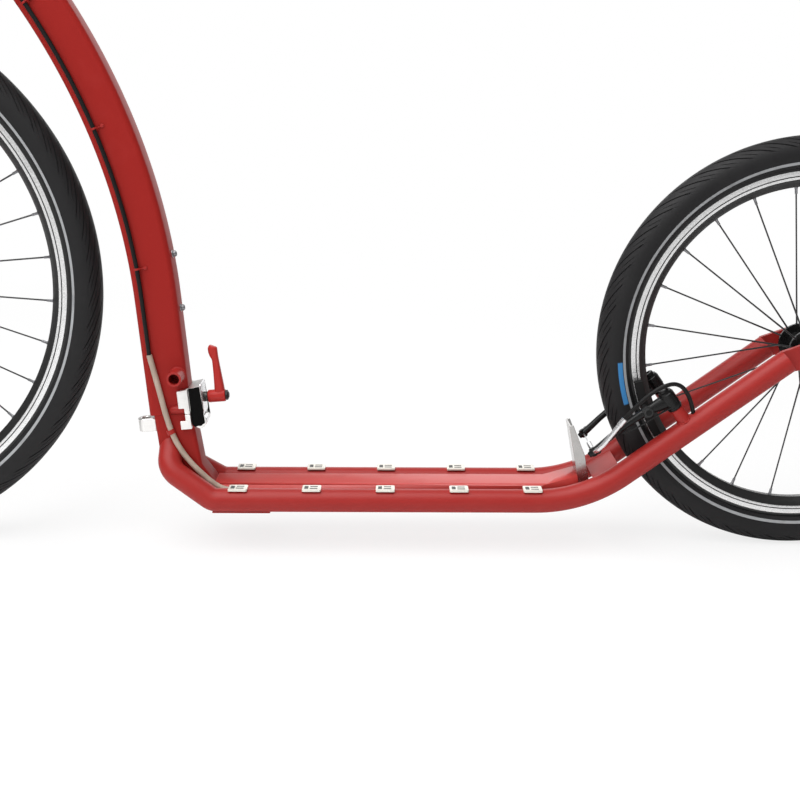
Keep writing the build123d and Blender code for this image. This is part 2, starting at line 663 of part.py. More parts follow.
def fork_leg(side):
    """One fork leg, bent forward to its dropout."""
    tip_y = FRONT_OLD / 2 + DROPOUT_T / 2
    points = [on_fork(0, side * LEG_TOP_Y, CROWN_T), on_fork(0, side * (LEG_TOP_Y + LEG_SPREAD), LEG_KNEE_T),
              on_fork(FORK_OFFSET - LEG_TIP_BACK, side * tip_y, LEG_TIP_T)]
    leg = pipe(points, [LEG_BEND_R], LEG_R)
    near, far = sorted((side * FRONT_OLD / 2, side * (FRONT_OLD / 2 + DROPOUT_T)))
    tip = points[-1]
    lobe = link((tip.X, tip.Z), LEG_R, (FRONT_AXLE.X, FRONT_AXLE.Z), DROPOUT_R)
    plate = Pos(0, near, 0) * extrude(Plane.XZ * lobe, -(far - near))
    plane = Plane(origin=on_fork(0, 0, CROWN_T - CROWN_H / 2), x_dir=HEAD_FORE, z_dir=HEAD_UP)
    above = plane * Box(6 * LEG_R, 4 * LEG_TOP_Y, 2 * CROWN_H, align=(Align.CENTER, Align.CENTER, Align.MIN))
    return leg + plate - cross_rod(FRONT_AXLE, 2 * FRONT_OLD, AXLE_R) - above


def steering():
    """Fork, stem, bar, grips and brake levers."""
    steerer = rod(on_fork(0, 0, CROWN_T), on_fork(0, 0, STEERER_TOP_T), STEERER_R)
    race = rod(on_fork(0, 0, CROWN_T), on_fork(0, 0, HEAD_LOW_T - CUT_GAP), HEAD_R - HEAD_STEP)
    plane = Plane(origin=on_fork(0, 0, CROWN_T), x_dir=HEAD_FORE, z_dir=HEAD_UP)
    slot = SlotCenterToCenter(2 * LEG_TOP_Y - 2 * LEG_R, CROWN_D, rotation=90)
    crown = extrude(plane * slot, CROWN_H / 2, both=True)
    made = {f"{side}_fork_leg": fork_leg(sign) for side, sign in SIDES.items()}
    made["fork_crown"] = crown + steerer + race
    spacer = rod(on_fork(0, 0, HEAD_HIGH_T + CUT_GAP), on_fork(0, 0, STEM_LOW_T), HEAD_R - HEAD_STEP)
    collar = rod(on_fork(0, 0, STEM_LOW_T), on_fork(0, 0, STEERER_TOP_T + STEM_CAP_H), HEAD_R - HEAD_STEP)
    arm_t = (STEM_LOW_T + STEERER_TOP_T) / 2
    base = on_fork(STEM_REACH, 0, arm_t + STEM_RISE)
    arm = rod(on_fork(STEERER_R / 2, 0, arm_t), base, STEM_ARM_R)
    eye = cross_rod(base, STEM_EYE_HALF_W, STEM_EYE_R)
    half = [(BAR_FLAT_Y, 0, 0), (BAR_KNEE_Y, 0, BAR_RISE), (BAR_HALF_W, -BAR_SWEEP, BAR_RISE + BAR_TIP_RISE)]
    ends = {side: [base + Vector(x, sign * y, z) for y, x, z in half] for side, sign in SIDES.items()}
    bar = pipe([*reversed(ends["left"]), *ends["right"]], BAR_BENDS, BAR_R)
    made["handlebar"] = bar
    made["stem"] = spacer + collar + arm + eye - steerer - bar
    grips, levers = [], []
    for _, inner, tip in ends.values():
        along = (tip - inner).normalized()
        grips.append(rod(tip - along * GRIP_L, tip + along * GRIP_END, GRIP_R) - bar)
        levers.append(brake_lever(tip - along * (GRIP_L + LEVER_SPACE), along, bar))
    made["grips"] = group(grips)
    made["brake_levers"] = group(levers)
    return made, {side: lever_mouth(*rows[1:]) for side, rows in ends.items()}


def lever_mouth(inner, tip):
    """Where the cable enters a brake lever, and the way the lever points outward."""
    along = (tip - inner).normalized()
    return tip - along * (GRIP_L + LEVER_SPACE + MOUTH_INSET) + LEVER_FORE * MOUTH_REACH, along


def brake_lever(place, along, bar):
    """Lever body clamped on the bar, with its finger blade before the grip."""
    ring = rod(place - along * LEVER_RING_HALF_W, place + along * LEVER_RING_HALF_W, LEVER_RING_R)
    root = place - along * (LEVER_BODY_R / 4)
    body = rod(root, root + LEVER_FORE * LEVER_BODY_L, LEVER_BODY_R)
    knee = place + LEVER_FORE * BLADE_REACH + along * BLADE_KNEE
    tip = place + LEVER_FORE * (BLADE_REACH - BLADE_TURN_IN) + along * BLADE_L
    blade = pipe([place + LEVER_FORE * (LEVER_BODY_L - BLADE_R), knee, tip], [BLADE_BEND_R], BLADE_R)
    return ring + body + blade - bar


def shoe(axle, pad_r, turn, sign):
    """Curved brake block along the rim's track; turn is its middle's angle round the axle."""
    near = sign * (RIM_W / 2 + PAD_GAP)
    far = near + sign * PAD_T
    low, high = pad_r - PAD_H / 2, pad_r + PAD_H / 2
    section = make_face(Polyline((low, near, 0), (high, near, 0), (high, far, 0), (low, far, 0), close=True))
    arc = degrees(PAD_L / pad_r)
    return Pos(*axle) * Rot(0, turn - arc / 2, 0) * revolve(section, Axis.Y, arc)


def brake_arm(sign):
    """One arm: tapered in the front view, with a thick pivot end and a slim shank in the side view."""
    front = link((0, sign * PIVOT_Y), ARM_PIVOT_R, (ARM_LENGTH, sign * ARM_END_Y), ARM_END_R)
    # Each row is the place along the arm, the height of its middle and its half thickness
    stations = [(0, 0, ARM_LUMP_R), (ARM_WAIST, ARM_BOW, ARM_WAIST_R), (ARM_MIDDLE, ARM_BOW, ARM_MIDDLE_R),
                (ARM_LENGTH, 0, ARM_END_R)]
    pairs = zip(stations, stations[1:])
    profile = Sketch() + [link(low[:2], low[2], high[:2], high[2]) for low, high in pairs]
    return extrude(front, 2 * ARM_LUMP_R, both=True) & extrude(Plane.XZ * profile, 2 * PIVOT_Y, both=True)


def brake(name, axle, wheel_r, plane, post_l, frame_parts, lead_step):
    """Pair of rim brake arms on their bosses, with shoes, lead pipe and wire; the plane's X is along the arms."""
    pivot, along = plane.origin, plane.x_dir
    first, second = ("left", "right") if plane.y_dir.Y > 0 else ("right", "left")
    pad_r = wheel_r - TYRE_W - PAD_DROP
    offset = pivot - axle
    ahead = offset.dot(along)
    pad_x = sqrt(ahead ** 2 + pad_r ** 2 - offset.dot(offset)) - ahead
    way = offset + along * pad_x
    turn = degrees(atan2(-way.Z, way.X))
    bolt_y = RIM_W / 2 + PAD_GAP + PAD_T - PAD_BOLT_ROOT
    made, bosses, shoes = {}, [], []
    for side, sign in ((first, 1), (second, -1)):
        y = sign * PIVOT_Y
        head = ARM_LUMP_R + PIVOT_HEAD_T
        stud = rod((0, y, -post_l), (0, y, -ARM_LUMP_R), BOSS_POST_R)
        stud += rod((0, y, -ARM_LUMP_R), (0, y, ARM_LUMP_R), PIVOT_R)
        stud += rod((0, y, ARM_LUMP_R), (0, y, head), PIVOT_HEAD_R)
        bolt_end = sign * (PIVOT_Y + ARM_PIVOT_R)
        bolt = plane * rod((pad_x, sign * bolt_y, ARM_BOW), (pad_x, bolt_end, ARM_BOW), PAD_BOLT_R)
        stud = plane * stud
        made[f"{side}_{name}_brake_arm"] = plane * brake_arm(sign) - stud - bolt
        shoes.append(shoe(axle, pad_r, turn, sign if plane.y_dir.Y > 0 else -sign) + bolt)
        for part in frame_parts:
            stud -= part
        bosses.append(stud)
    made[f"{name}_brake_bosses"] = group(bosses)
    made[f"{name}_brake_shoes"] = group(shoes)
    wire_x = ARM_LENGTH - ARM_END_R / 2
    lead = [(wire_x, 0, 0), (wire_x, LEAD_Y, 0), (wire_x + lead_step[0], LEAD_Y + 2 * HOUSING_R, lead_step[1])]
    lead = [plane.from_local_coords(Vector(*p)) for p in lead]
    pull = pipe(lead, [LEAD_BEND_R], HOUSING_R) + plane * rod((wire_x, 0, 0), (wire_x, -ARM_END_Y, 0), WIRE_R)
    for side in (first, second):
        made[f"{side}_{name}_brake_arm"] -= pull
    made[f"{name}_brake_lead"] = pull
    return made, lead


def rear_cables(lead):
    """Rear brake cable: along the main tube, over the fold, through the deck and up to the brake."""
    start = on_tube(CABLE_FORE, CABLE_Y, SLEEVE_TOP)
    knee = on_tube(CABLE_FORE, CABLE_Y, STRAIGHT_UP)
    bend = ThreePointArc(knee, on_arc(CABLE_FORE, CABLE_Y, CABLE_TURN / 2), on_arc(CABLE_FORE, CABLE_Y, CABLE_TURN))
    path = Wire([*Line(start, knee).edges(), *bend.edges()])
    housing = sweep(Plane(origin=start, z_dir=LEAN_UP) * Circle(HOUSING_R), path=path)
    join = Vector(CABLE_JOIN_X, GAP_Y, CABLE_Z)
    sleeve = [start, *SLEEVE_ROUTE, join]
    hole_x = REAR_AXLE.X + CABLE_HOLE_AHEAD
    hole = (hole_x, TRACK_Y - HOLE_DEPTH, CABLE_Z + HOLE_RISE)
    run = [join, (hole_x + HOLE_RUN_UP, GAP_Y, CABLE_Z), hole]
    tip, back = lead[-1], (lead[-1] - lead[-2]).normalized()
    loop = [tip, tip + back * LOOP_LEAD, on_stay(LOOP_BACK, TRACK_Y + LOOP_OUT, LOOP_ABOVE),
            on_stay(LOOP_END_BACK, TRACK_Y, TUBE_R / 2)]
    return {"rear_cable_upper": housing, "rear_cable_sleeve": pipe(sleeve, SLEEVE_BENDS, SLEEVE_R),
            "rear_cable_deck": pipe(run, [HOLE_BEND], HOUSING_R),
            "rear_cable_loop": pipe(loop, LOOP_BENDS, HOUSING_R)}


def steering_cables(mouths, lead):
    """Cables from the brake levers: one to the front brake, one round the head tube to the main tube."""
    place, along = mouths["right"]
    end = on_arc(CABLE_FORE, CABLE_Y, CABLE_TURN)
    lean = radians(LEAN + CABLE_TURN)
    loop = [end, end + Vector(sin(lean), 0, cos(lean)) * STEER_LEAD, *STEER_ROUTE,
            place - along * MOUTH_LEAD + Vector(STEER_MOUTH), place]
    steer = pipe(loop, STEER_BENDS, HOUSING_R)
    place, along = mouths["left"]
    tip, back = lead[-1], (lead[-1] - lead[-2]).normalized()
    route = [tip, tip + back * FRONT_LEAD, *FRONT_ROUTE, place - along * MOUTH_LEAD + Vector(FRONT_MOUTH), place]
    return {"rear_cable_steer": steer, "front_cable": pipe(route, FRONT_BENDS, HOUSING_R)}


def clips(frame, housing, sleeve, stand):
    """Small wire clips that hold the rear cable on the main tube and on the post."""
    rings = []
    for turn in CLIP_TURNS:
        low, high = on_arc(CABLE_FORE, CABLE_Y, turn - CLIP_TURN), on_arc(CABLE_FORE, CABLE_Y, turn + CLIP_TURN)
        rings.append(rod(low, high, HOUSING_R + CLIP_T) - housing - frame)
    low = rod(*LOW_CLIP, SLEEVE_R + CLIP_T) - sleeve - stand
    return {"upper_cable_clips": group(rings), "lower_cable_clip": low}


def main():
    """Build every piece and write it out."""
    os.makedirs("parts", exist_ok=True)
    parts = deck()
    parts.update(front_frame())
    made, mouths = steering()
    parts.update(made)
    parts.update(wheel("rear", REAR_AXLE, REAR_WHEEL_R, REAR_SPOKES, REAR_OLD, REAR_FLANGE_Y))
    parts.update(wheel("front", FRONT_AXLE, FRONT_WHEEL_R, FRONT_SPOKES, FRONT_OLD, FRONT_FLANGE_Y))
    tubes = [parts[f"{side}_deck_tube"] for side in SIDES]
    plane = Plane(origin=on_stay(REAR_PIVOT_BACK, 0, REAR_PIVOT_ABOVE), x_dir=-STAY_DIR, z_dir=STAY_UP)
    made, rear_lead = brake("rear", REAR_AXLE, REAR_WHEEL_R, plane, REAR_POST_L, tubes, REAR_LEAD_STEP)
    parts.update(made)
    legs = [parts[f"{side}_fork_leg"] for side in SIDES]
    plane = Plane(origin=on_fork(FRONT_PIVOT_FORE, 0, FRONT_PIVOT_UP), x_dir=HEAD_UP, z_dir=HEAD_FORE)
    made, front_lead = brake("front", FRONT_AXLE, FRONT_WHEEL_R, plane, FRONT_POST_L, legs, FRONT_LEAD_STEP)
    parts.update(made)
    parts.update(rear_cables(rear_lead))
    parts.update(steering_cables(mouths, front_lead))
    for name, cutter in CABLE_ENDS:
        parts[name] -= parts[cutter]
    held = [parts[name] for name in ("main_tube", "rear_cable_upper", "rear_cable_sleeve", "hinge_post")]
    parts.update(clips(*held))
    for name, shape in parts.items():
        export_step(shape, f"parts/{name}.step")
    print(len(parts), "pieces")


main()
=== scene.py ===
"""Dressed folding kick bike, in metres: +X forward, +Y the rider's left, +Z up, deck top at the origin."""

import logging
from dataclasses import dataclass, field, replace
from enum import Enum
from math import acos, atan2, cos, pi, radians, sin, tan
from typing import Any, Iterable, Sequence

import bmesh
import bpy
import numpy as np
from mathutils import Matrix, Vector


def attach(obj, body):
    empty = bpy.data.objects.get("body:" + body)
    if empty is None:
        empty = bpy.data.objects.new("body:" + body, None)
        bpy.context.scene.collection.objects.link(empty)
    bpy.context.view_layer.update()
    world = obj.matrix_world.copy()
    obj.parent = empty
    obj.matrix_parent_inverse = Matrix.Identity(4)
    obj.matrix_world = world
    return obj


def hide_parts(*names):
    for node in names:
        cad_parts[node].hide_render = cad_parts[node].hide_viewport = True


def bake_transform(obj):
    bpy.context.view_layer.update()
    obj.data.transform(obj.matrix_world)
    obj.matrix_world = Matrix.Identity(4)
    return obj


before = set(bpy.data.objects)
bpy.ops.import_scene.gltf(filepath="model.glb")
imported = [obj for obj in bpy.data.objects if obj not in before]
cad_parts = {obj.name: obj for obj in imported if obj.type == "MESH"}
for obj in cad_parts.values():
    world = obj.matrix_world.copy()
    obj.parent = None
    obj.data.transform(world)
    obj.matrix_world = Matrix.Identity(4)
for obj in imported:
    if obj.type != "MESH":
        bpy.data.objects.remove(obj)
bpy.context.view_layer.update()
Array = np.ndarray
Colour = tuple[float, float, float]
Socket = bpy.types.NodeSocket
Thing = bpy.types.Object
log = logging.getLogger("kick_bike")

# Size of the scuffs' pattern, and how much rougher a scuff is
SCUFF_SCALE = 26.0
SCUFF_ROUGH = 0.15
# Points of a solid closer than this are one point; edges sharper than this angle are rounded
MERGE_DISTANCE = 2e-6
EDGE_ANGLE = radians(38)


def mm(rows: Any) -> Array:
    """Millimetres as an array in metres."""
    return np.array(rows, float) * 0.001


def grey(value: float) -> Colour:
    """Neutral colour."""
    return (value, value, value)


def spot(*place: float) -> Any:
    """Dataclass field that holds a point."""
    return field(default_factory=lambda: np.array(place, float))


class Effect(Enum):
    """Shader effects that several finishes share."""

    GRAIN = "fine_grain"
    SCUFF = "broad_scuffs"
    BAND = "soft_band"


class Body(Enum):
    """Moving bodies of the bike."""

    REAR = "rear_frame"
    FRONT = "front_frame"
    STEER = "steering"
    FRONT_WHEEL = "front_wheel"
    REAR_WHEEL = "rear_wheel"


@dataclass
class Patch:
    """Points with quads over them, a texture place for each quad corner, and flat end faces."""

    points: Array
    quads: Array
    uv: Array
    caps: list[Array] = field(default_factory=list)

    def volume(self) -> float:
        """Signed volume under the quads and end faces.

        Returns:
            Sum over their triangles of the first corner times the cross product of the others, over six.
        """
        total = 0.0
        for faces in (self.quads, *self.caps):
            first, second, third = (self.points[f] for f in (faces[:, :1], faces[:, 1:-1], faces[:, 2:]))
            total += float((first * np.cross(second, third)).sum())
        return total / 6

    def flipped(self) -> "Patch":
        """The same patch with its faces turned over."""
        return Patch(self.points, self.quads[:, ::-1], self.uv[:, ::-1], [c[:, ::-1] for c in self.caps])

    def outward(self) -> "Patch":
        """The same patch with its faces pointing out of a closed shape."""
        return self if self.volume() >= 0 else self.flipped()


def slope(angle: float) -> tuple[Array, Array]:
    """Direction that goes back and up at an angle from level, and the one square above it."""
    return np.array((-cos(angle), 0, sin(angle))), np.array((sin(angle), 0, cos(angle)))


def linked(name: str, data: bpy.types.ID) -> Thing:
    """New object in the scene.

    Args:
        name: Name of the object.
        data: Its mesh, lamp or camera.

    Returns:
        The object.
    """
    made = bpy.data.objects.new(name, data)
    bpy.context.scene.collection.objects.link(made)
    return made


def unit(vectors: Array) -> Array:
    """Vectors of length one in the same directions."""
    return vectors / np.linalg.norm(vectors, axis=-1, keepdims=True)


def sheet(points: Array, round_rows: bool = False, round_cols: bool = False, ends: bool = False,
          uv: Array | None = None) -> Patch:
    """Quads over a grid of points.

    Args:
        points: Grid of points, rows by columns by three.
        round_rows: Whether the last row joins the first.
        round_cols: Whether the last column joins the first.
        ends: Whether the first and last rows get a flat face.
        uv: Texture places of the grid, with the repeated row and column; even steps without it.

    Returns:
        The patch, with its faces turned outward where it is closed.
    """
    rows, cols = points.shape[:2]
    index = np.arange(rows * cols).reshape(rows, cols)
    index = np.vstack([index, index[:1]]) if round_rows else index
    index = np.hstack([index, index[:, :1]]) if round_cols else index
    if uv is None:
        steps = [np.linspace(0, 1, n) for n in index.shape]
        uv = np.stack(np.meshgrid(*steps, indexing="ij"), -1)
    low, high = slice(None, -1), slice(1, None)
    corners = [(low, low), (high, low), (high, high), (low, high)]
    quads = np.stack([index[c] for c in corners], -1).reshape(-1, 4)
    places = np.stack([uv[c] for c in corners], 2).reshape(-1, 4, 2)
    caps = [index[:1, :cols], index[-1:, :cols][:, ::-1]] if ends else []
    patch = Patch(points.reshape(-1, 3), quads, places, caps)
    closed = round_cols and (ends or round_rows)
    return patch.outward() if closed else patch


def stack(patches: Iterable[Patch]) -> Patch:
    """Several patches as one.

    Args:
        patches: The patches.

    Returns:
        One patch with all their points and faces.
    """
    patches = list(patches)
    starts = np.cumsum([0] + [len(p.points) for p in patches])
    quads = np.vstack([p.quads + s for p, s in zip(patches, starts)])
    caps = [c + s for p, s in zip(patches, starts) for c in p.caps]
    return Patch(np.vstack([p.points for p in patches]), quads, np.vstack([p.uv for p in patches]), caps)


def copies(patch: Patch, shifts: Array, turns: Array = np.eye(3)[None]) -> Patch:
    """One patch repeated.

    Args:
        patch: Shape about its own origin.
        shifts: Place of each copy, count by three.
        turns: Rotation of each copy, count by three by three; none without it.

    Returns:
        All the copies as one patch; point n of copy k is turn k times point n plus shift k.
    """
    count, size = len(shifts), len(patch.points)
    points = np.einsum("kij,nj->kni", turns, patch.points) + shifts[:, None]
    step = size * np.arange(count)[:, None, None]
    caps = [(c[None] + step).reshape(-1, c.shape[1]) for c in patch.caps]
    quads = (patch.quads[None] + step).reshape(-1, 4)
    return Patch(points.reshape(-1, 3), quads, np.tile(patch.uv, (count, 1, 1)), caps)


def mirrored(patch: Patch) -> Patch:
    """The patch and its mirror image across the bike's middle plane.

    Args:
        patch: Shape on one side.

    Returns:
        Both as one patch.
    """
    other = patch.flipped()
    other.points = patch.points * (1, -1, 1)
    return stack([patch, other])


def circle(radius: float, sides: int) -> Array:
    """Outline of a circle: radius times cosine and sine of even angles."""
    angle = np.linspace(0, 2 * pi, sides, endpoint=False)
    return radius * np.stack([np.cos(angle), np.sin(angle)], -1)


def rounded_box(width: float, height: float, corner: float, steps: int = 7) -> Array:
    """Outline of a rectangle with round corners: a quarter circle about each of four corner middles.

    Args:
        width: Full size along the first number.
        height: Full size along the second.
        corner: Radius of the corners.
        steps: Points in each corner.

    Returns:
        Points of the outline.
    """
    angle = np.linspace(0, pi / 2, steps)[None] + pi / 2 * np.arange(4)[:, None]
    middle = np.array([(1, 1), (-1, 1), (-1, -1), (1, -1)]) * (width / 2 - corner, height / 2 - corner)
    return (middle[:, None] + corner * np.stack([np.cos(angle), np.sin(angle)], -1)).reshape(-1, 2)


def carry(path: Array, outline: Array, up: Sequence[float], scale: Array | float = 1.0) -> Patch:
    """Closed outline carried along a path.

    Each point is the path's point plus the outline's first number along the side vector and its second along the
    lift vector; the side is square to the path and to up.

    Args:
        path: Points of the path.
        outline: Outline, or one outline for each path point.
        up: Direction that is never along the path.
        scale: Size of the outline at each path point.

    Returns:
        Closed patch with flat ends.
    """
    way = unit(np.gradient(path, axis=0))
    side = unit(np.cross(np.array(up, float), way))
    lift = np.cross(way, side)
    shape = outline.reshape(-1, *outline.shape[-2:]) * np.reshape(scale, (-1, 1, 1))
    points = path[:, None] + shape[..., :1] * side[:, None] + shape[..., 1:] * lift[:, None]
    return sheet(points, round_cols=True, ends=True)


def bent(points: Sequence[Sequence[float]], radii: Sequence[float], steps: int = 14) -> Array:
    """Line whose corners are rounded: at each corner an arc that touches both runs.

    Args:
        points: Corners of the line.
        radii: Radius at each inner corner.
        steps: Points in each arc.

    Returns:
        Points of the line.
    """
    corners = np.array(points, float)
    rows = [corners[:1]]
    for before, corner, after, radius in zip(corners, corners[1:], corners[2:], radii):
        back, ahead = unit(before - corner), unit(after - corner)
        half = acos(float(np.clip(back @ ahead, -1, 1))) / 2
        middle = corner + unit(back + ahead) * radius / sin(half)
        first = corner + back * radius / tan(half) - middle
        turn = np.linspace(0, pi - 2 * half, steps)[:, None]
        rows.append(middle + first * np.cos(turn) - back * radius * np.sin(turn))
    return np.vstack([*rows, corners[-1:]])


def flow(points: Sequence[Sequence[float]], steps: int = 16) -> Array:
    """Smooth line led by its points: parabolas that join at the middles of the inner runs.

    Args:
        points: First point, leading points and last point.
        steps: Points in each parabola.

    Returns:
        Points of the line.
    """
    lead = np.array(points, float)
    middles = (lead[1:-2] + lead[2:-1]) / 2
    starts, ends = np.vstack([lead[:1], middles]), np.vstack([middles, lead[-1:]])
    t = np.linspace(0, 1, steps, endpoint=False)[None, :, None]
    line = starts[:, None] * (1 - t) ** 2 + 2 * t * (1 - t) * lead[1:-1, None] + t ** 2 * ends[:, None]
    return np.vstack([line.reshape(-1, lead.shape[1]), lead[-1:]])


def swelling(stations: Array, steps: int, corner: float = 0.9) -> tuple[Array, Array]:
    """Smooth rows between stations, and an outline for each.

    Args:
        stations: Rows of a place's three numbers, then half the width and half the height there.
        steps: Rows in each span.
        corner: Roundness of the outline, up to one for an ellipse.

    Returns:
        The places, and outlines that are a rounded square stretched by each row's half sizes.
    """
    rows = flow(stations, steps)
    return rows[:, :3], rounded_box(2, 2, corner, 5)[None] * rows[:, None, 3:]


def bead(loop: Array, radius: float, ripples: int) -> Patch:
    """Weld bead along a closed loop of points: a small circle whose radius rises and falls in even ripples.

    Args:
        loop: Points of the loop.
        radius: Mean radius of the bead.
        ripples: Ripples along the whole loop.

    Returns:
        Closed patch.
    """
    middle = loop.mean(0)
    way = unit(np.roll(loop, -1, 0) - np.roll(loop, 1, 0))
    side = unit(np.cross(way, np.cross(loop - middle, way)))
    lift = np.cross(way, side)
    steps = np.linspace(0, 2 * pi * ripples, len(loop), endpoint=False)
    ring = circle(1, 8)[None] * (radius * (1 + 0.14 * np.sin(steps)))[:, None, None]
    points = loop[:, None] + ring[..., :1] * side[:, None] + ring[..., 1:] * lift[:, None]
    return sheet(points, round_rows=True, round_cols=True)


def turned(profile: Sequence[Sequence[float]], origin: Sequence[float], axis: Sequence[float], sides: int,
           hollow: bool = False) -> Patch:
    """Solid of revolution.

    Args:
        profile: Rows of a place along the axis and a radius there, in millimetres.
        origin: Point on the axis.
        axis: Direction of the axis.
        sides: Points round the axis.
        hollow: Whether the last row joins the first, as in a ring, in place of flat ends.

    Returns:
        Closed patch; each point is the row's place along the axis plus its radius in an even turn about it.
    """
    rows = mm(profile)
    way = unit(np.array(axis, float))
    first = unit(np.cross(way, (0.3, 0.5, 0.81)))
    ring = circle(1, sides)
    spread = ring[:, :1] * first + ring[:, 1:] * np.cross(way, first)
    points = np.array(origin, float) + rows[:, None, :1] * way + rows[:, None, 1:] * spread
    return sheet(points, round_rows=hollow, round_cols=True, ends=not hollow)


def raised(outline: Array, rings: Sequence[tuple[float, Any]], base: Sequence[Any], middle: Any = 0.0) -> Patch:
    """Outline raised in rings, with flat ends.

    Args:
        outline: Points of the outline.
        rings: Height of each ring and its size as a share of the outline.
        base: Origin, then the directions of the outline's two numbers and of the height.
        middle: Point of the outline that it shrinks to.

    Returns:
        Closed patch; each ring is the outline shrunk to its middle and moved by its height.
    """
    origin, first, second, out = (np.array(row, float) for row in base)
    flat = np.stack([middle + (outline - middle) * share for _, share in rings])
    height = np.array([high for high, _ in rings])[:, None, None]
    points = origin + flat[..., :1] * first + flat[..., 1:] * second + height * out
    return sheet(points, round_cols=True, ends=True)


class Bench:
    """A node tree with short ways to add and join nodes."""

    def __init__(self, tree: bpy.types.NodeTree) -> None:
        """Keeps the tree."""
        self.tree = tree

    def feed(self, socket: Socket, value: Any) -> None:
        """Gives a socket a value, or joins it to the socket that feeds it.

        Args:
            socket: Socket to set.
            value: The value, or the socket to join.
        """
        if isinstance(value, Socket):
            self.tree.links.new(value, socket)
        else:
            socket.default_value = value

    def add(self, kind: str, inputs: dict[Any, Any] | None = None, **settings: Any) -> bpy.types.Node:
        """Adds a node.

        Args:
            kind: Node type without its ShaderNode start.
            inputs: Sockets by name or place, each with a value or with the socket that feeds it.
            settings: Properties of the node.

        Returns:
            The node.
        """
        node = self.tree.nodes.new("ShaderNode" + kind)
        for key, value in settings.items():
            setattr(node, key, value)
        for key, value in (inputs or {}).items():
            self.feed(node.inputs[key], value)
        return node

    def math(self, operation: str, first: Any, second: Any = 0.0, third: Any = 0.0) -> Socket:
        """Result of a sum on values or sockets."""
        return self.add("Math", {0: first, 1: second, 2: third}, operation=operation).outputs[0]

    def mix(self, mask: Any, low: Any, high: Any) -> Socket:
        """Colour between two, by a mask."""
        colours = {k: (*v, 1) if isinstance(v, tuple) else v for k, v in ((6, low), (7, high))}
        return self.add("Mix", {0: mask, **colours}, data_type="RGBA").outputs[2]

    def spread(self, mask: Any, low: float, high: float) -> Socket:
        """A mask's range moved to low and high."""
        return self.add("MapRange", {"Value": mask, "To Min": low, "To Max": high}).outputs[0]

    def effect(self, kind: Effect, inputs: dict[Any, Any]) -> bpy.types.Node:
        """Places a shared effect with its own values."""
        return self.add("Group", inputs, node_tree=effect_group(kind))


def effect_group(kind: Effect) -> bpy.types.NodeTree:
    """Shader node group of a shared effect, built once.

    Args:
        kind: The effect.

    Returns:
        The group.
    """
    found = bpy.data.node_groups.get(kind.value)
    if found:
        return found
    tree = bpy.data.node_groups.new(kind.value, "ShaderNodeTree")
    bench, banded = Bench(tree), kind is Effect.BAND
    takes = ("Value", "Low", "High", "Soft") if banded else ("Vector", "Scale")
    gives = ("Mask",) if banded else ("Mask", "Height")
    for way, names in (("INPUT", takes), ("OUTPUT", gives)):
        for name in names:
            sort = "NodeSocketVector" if name == "Vector" else "NodeSocketFloat"
            tree.interface.new_socket(name, in_out=way, socket_type=sort)
    ports = tree.nodes.new("NodeGroupInput").outputs
    if banded:
        ends = []
        for edge, sign in (("Low", 1), ("High", -1)):
            gap = bench.math("SUBTRACT", ports["Value"], ports[edge])
            part = bench.math("DIVIDE", bench.math("MULTIPLY", gap, sign), ports["Soft"])
            ends.append(bench.add("Clamp", {0: bench.math("ADD", part, 0.5)}).outputs[0])
        results = [bench.math("MULTIPLY", *ends)]
    else:
        broad = kind is Effect.SCUFF
        low, high, detail = (0.55, 0.8, 4.0) if broad else (0.3, 0.7, 2.0)
        place, scale = ports["Vector"], ports["Scale"]
        noise = bench.add("TexNoise", {"Vector": place, "Scale": scale, "Detail": detail, "Roughness": 0.6}).outputs[0]
        closer = bench.math("MULTIPLY", scale, 3.1)
        fine = bench.add("TexNoise", {"Vector": place, "Scale": closer, "Detail": 1.0}).outputs[0]
        mask = bench.add("MapRange", {"Value": noise, "From Min": low, "From Max": high}).outputs[0]
        results = [mask, bench.math("MULTIPLY_ADD", fine, 0.4, noise)]
    out = tree.nodes.new("NodeGroupOutput")
    for name, value in zip(gives, results):
        bench.feed(out.inputs[name], value)
    return tree


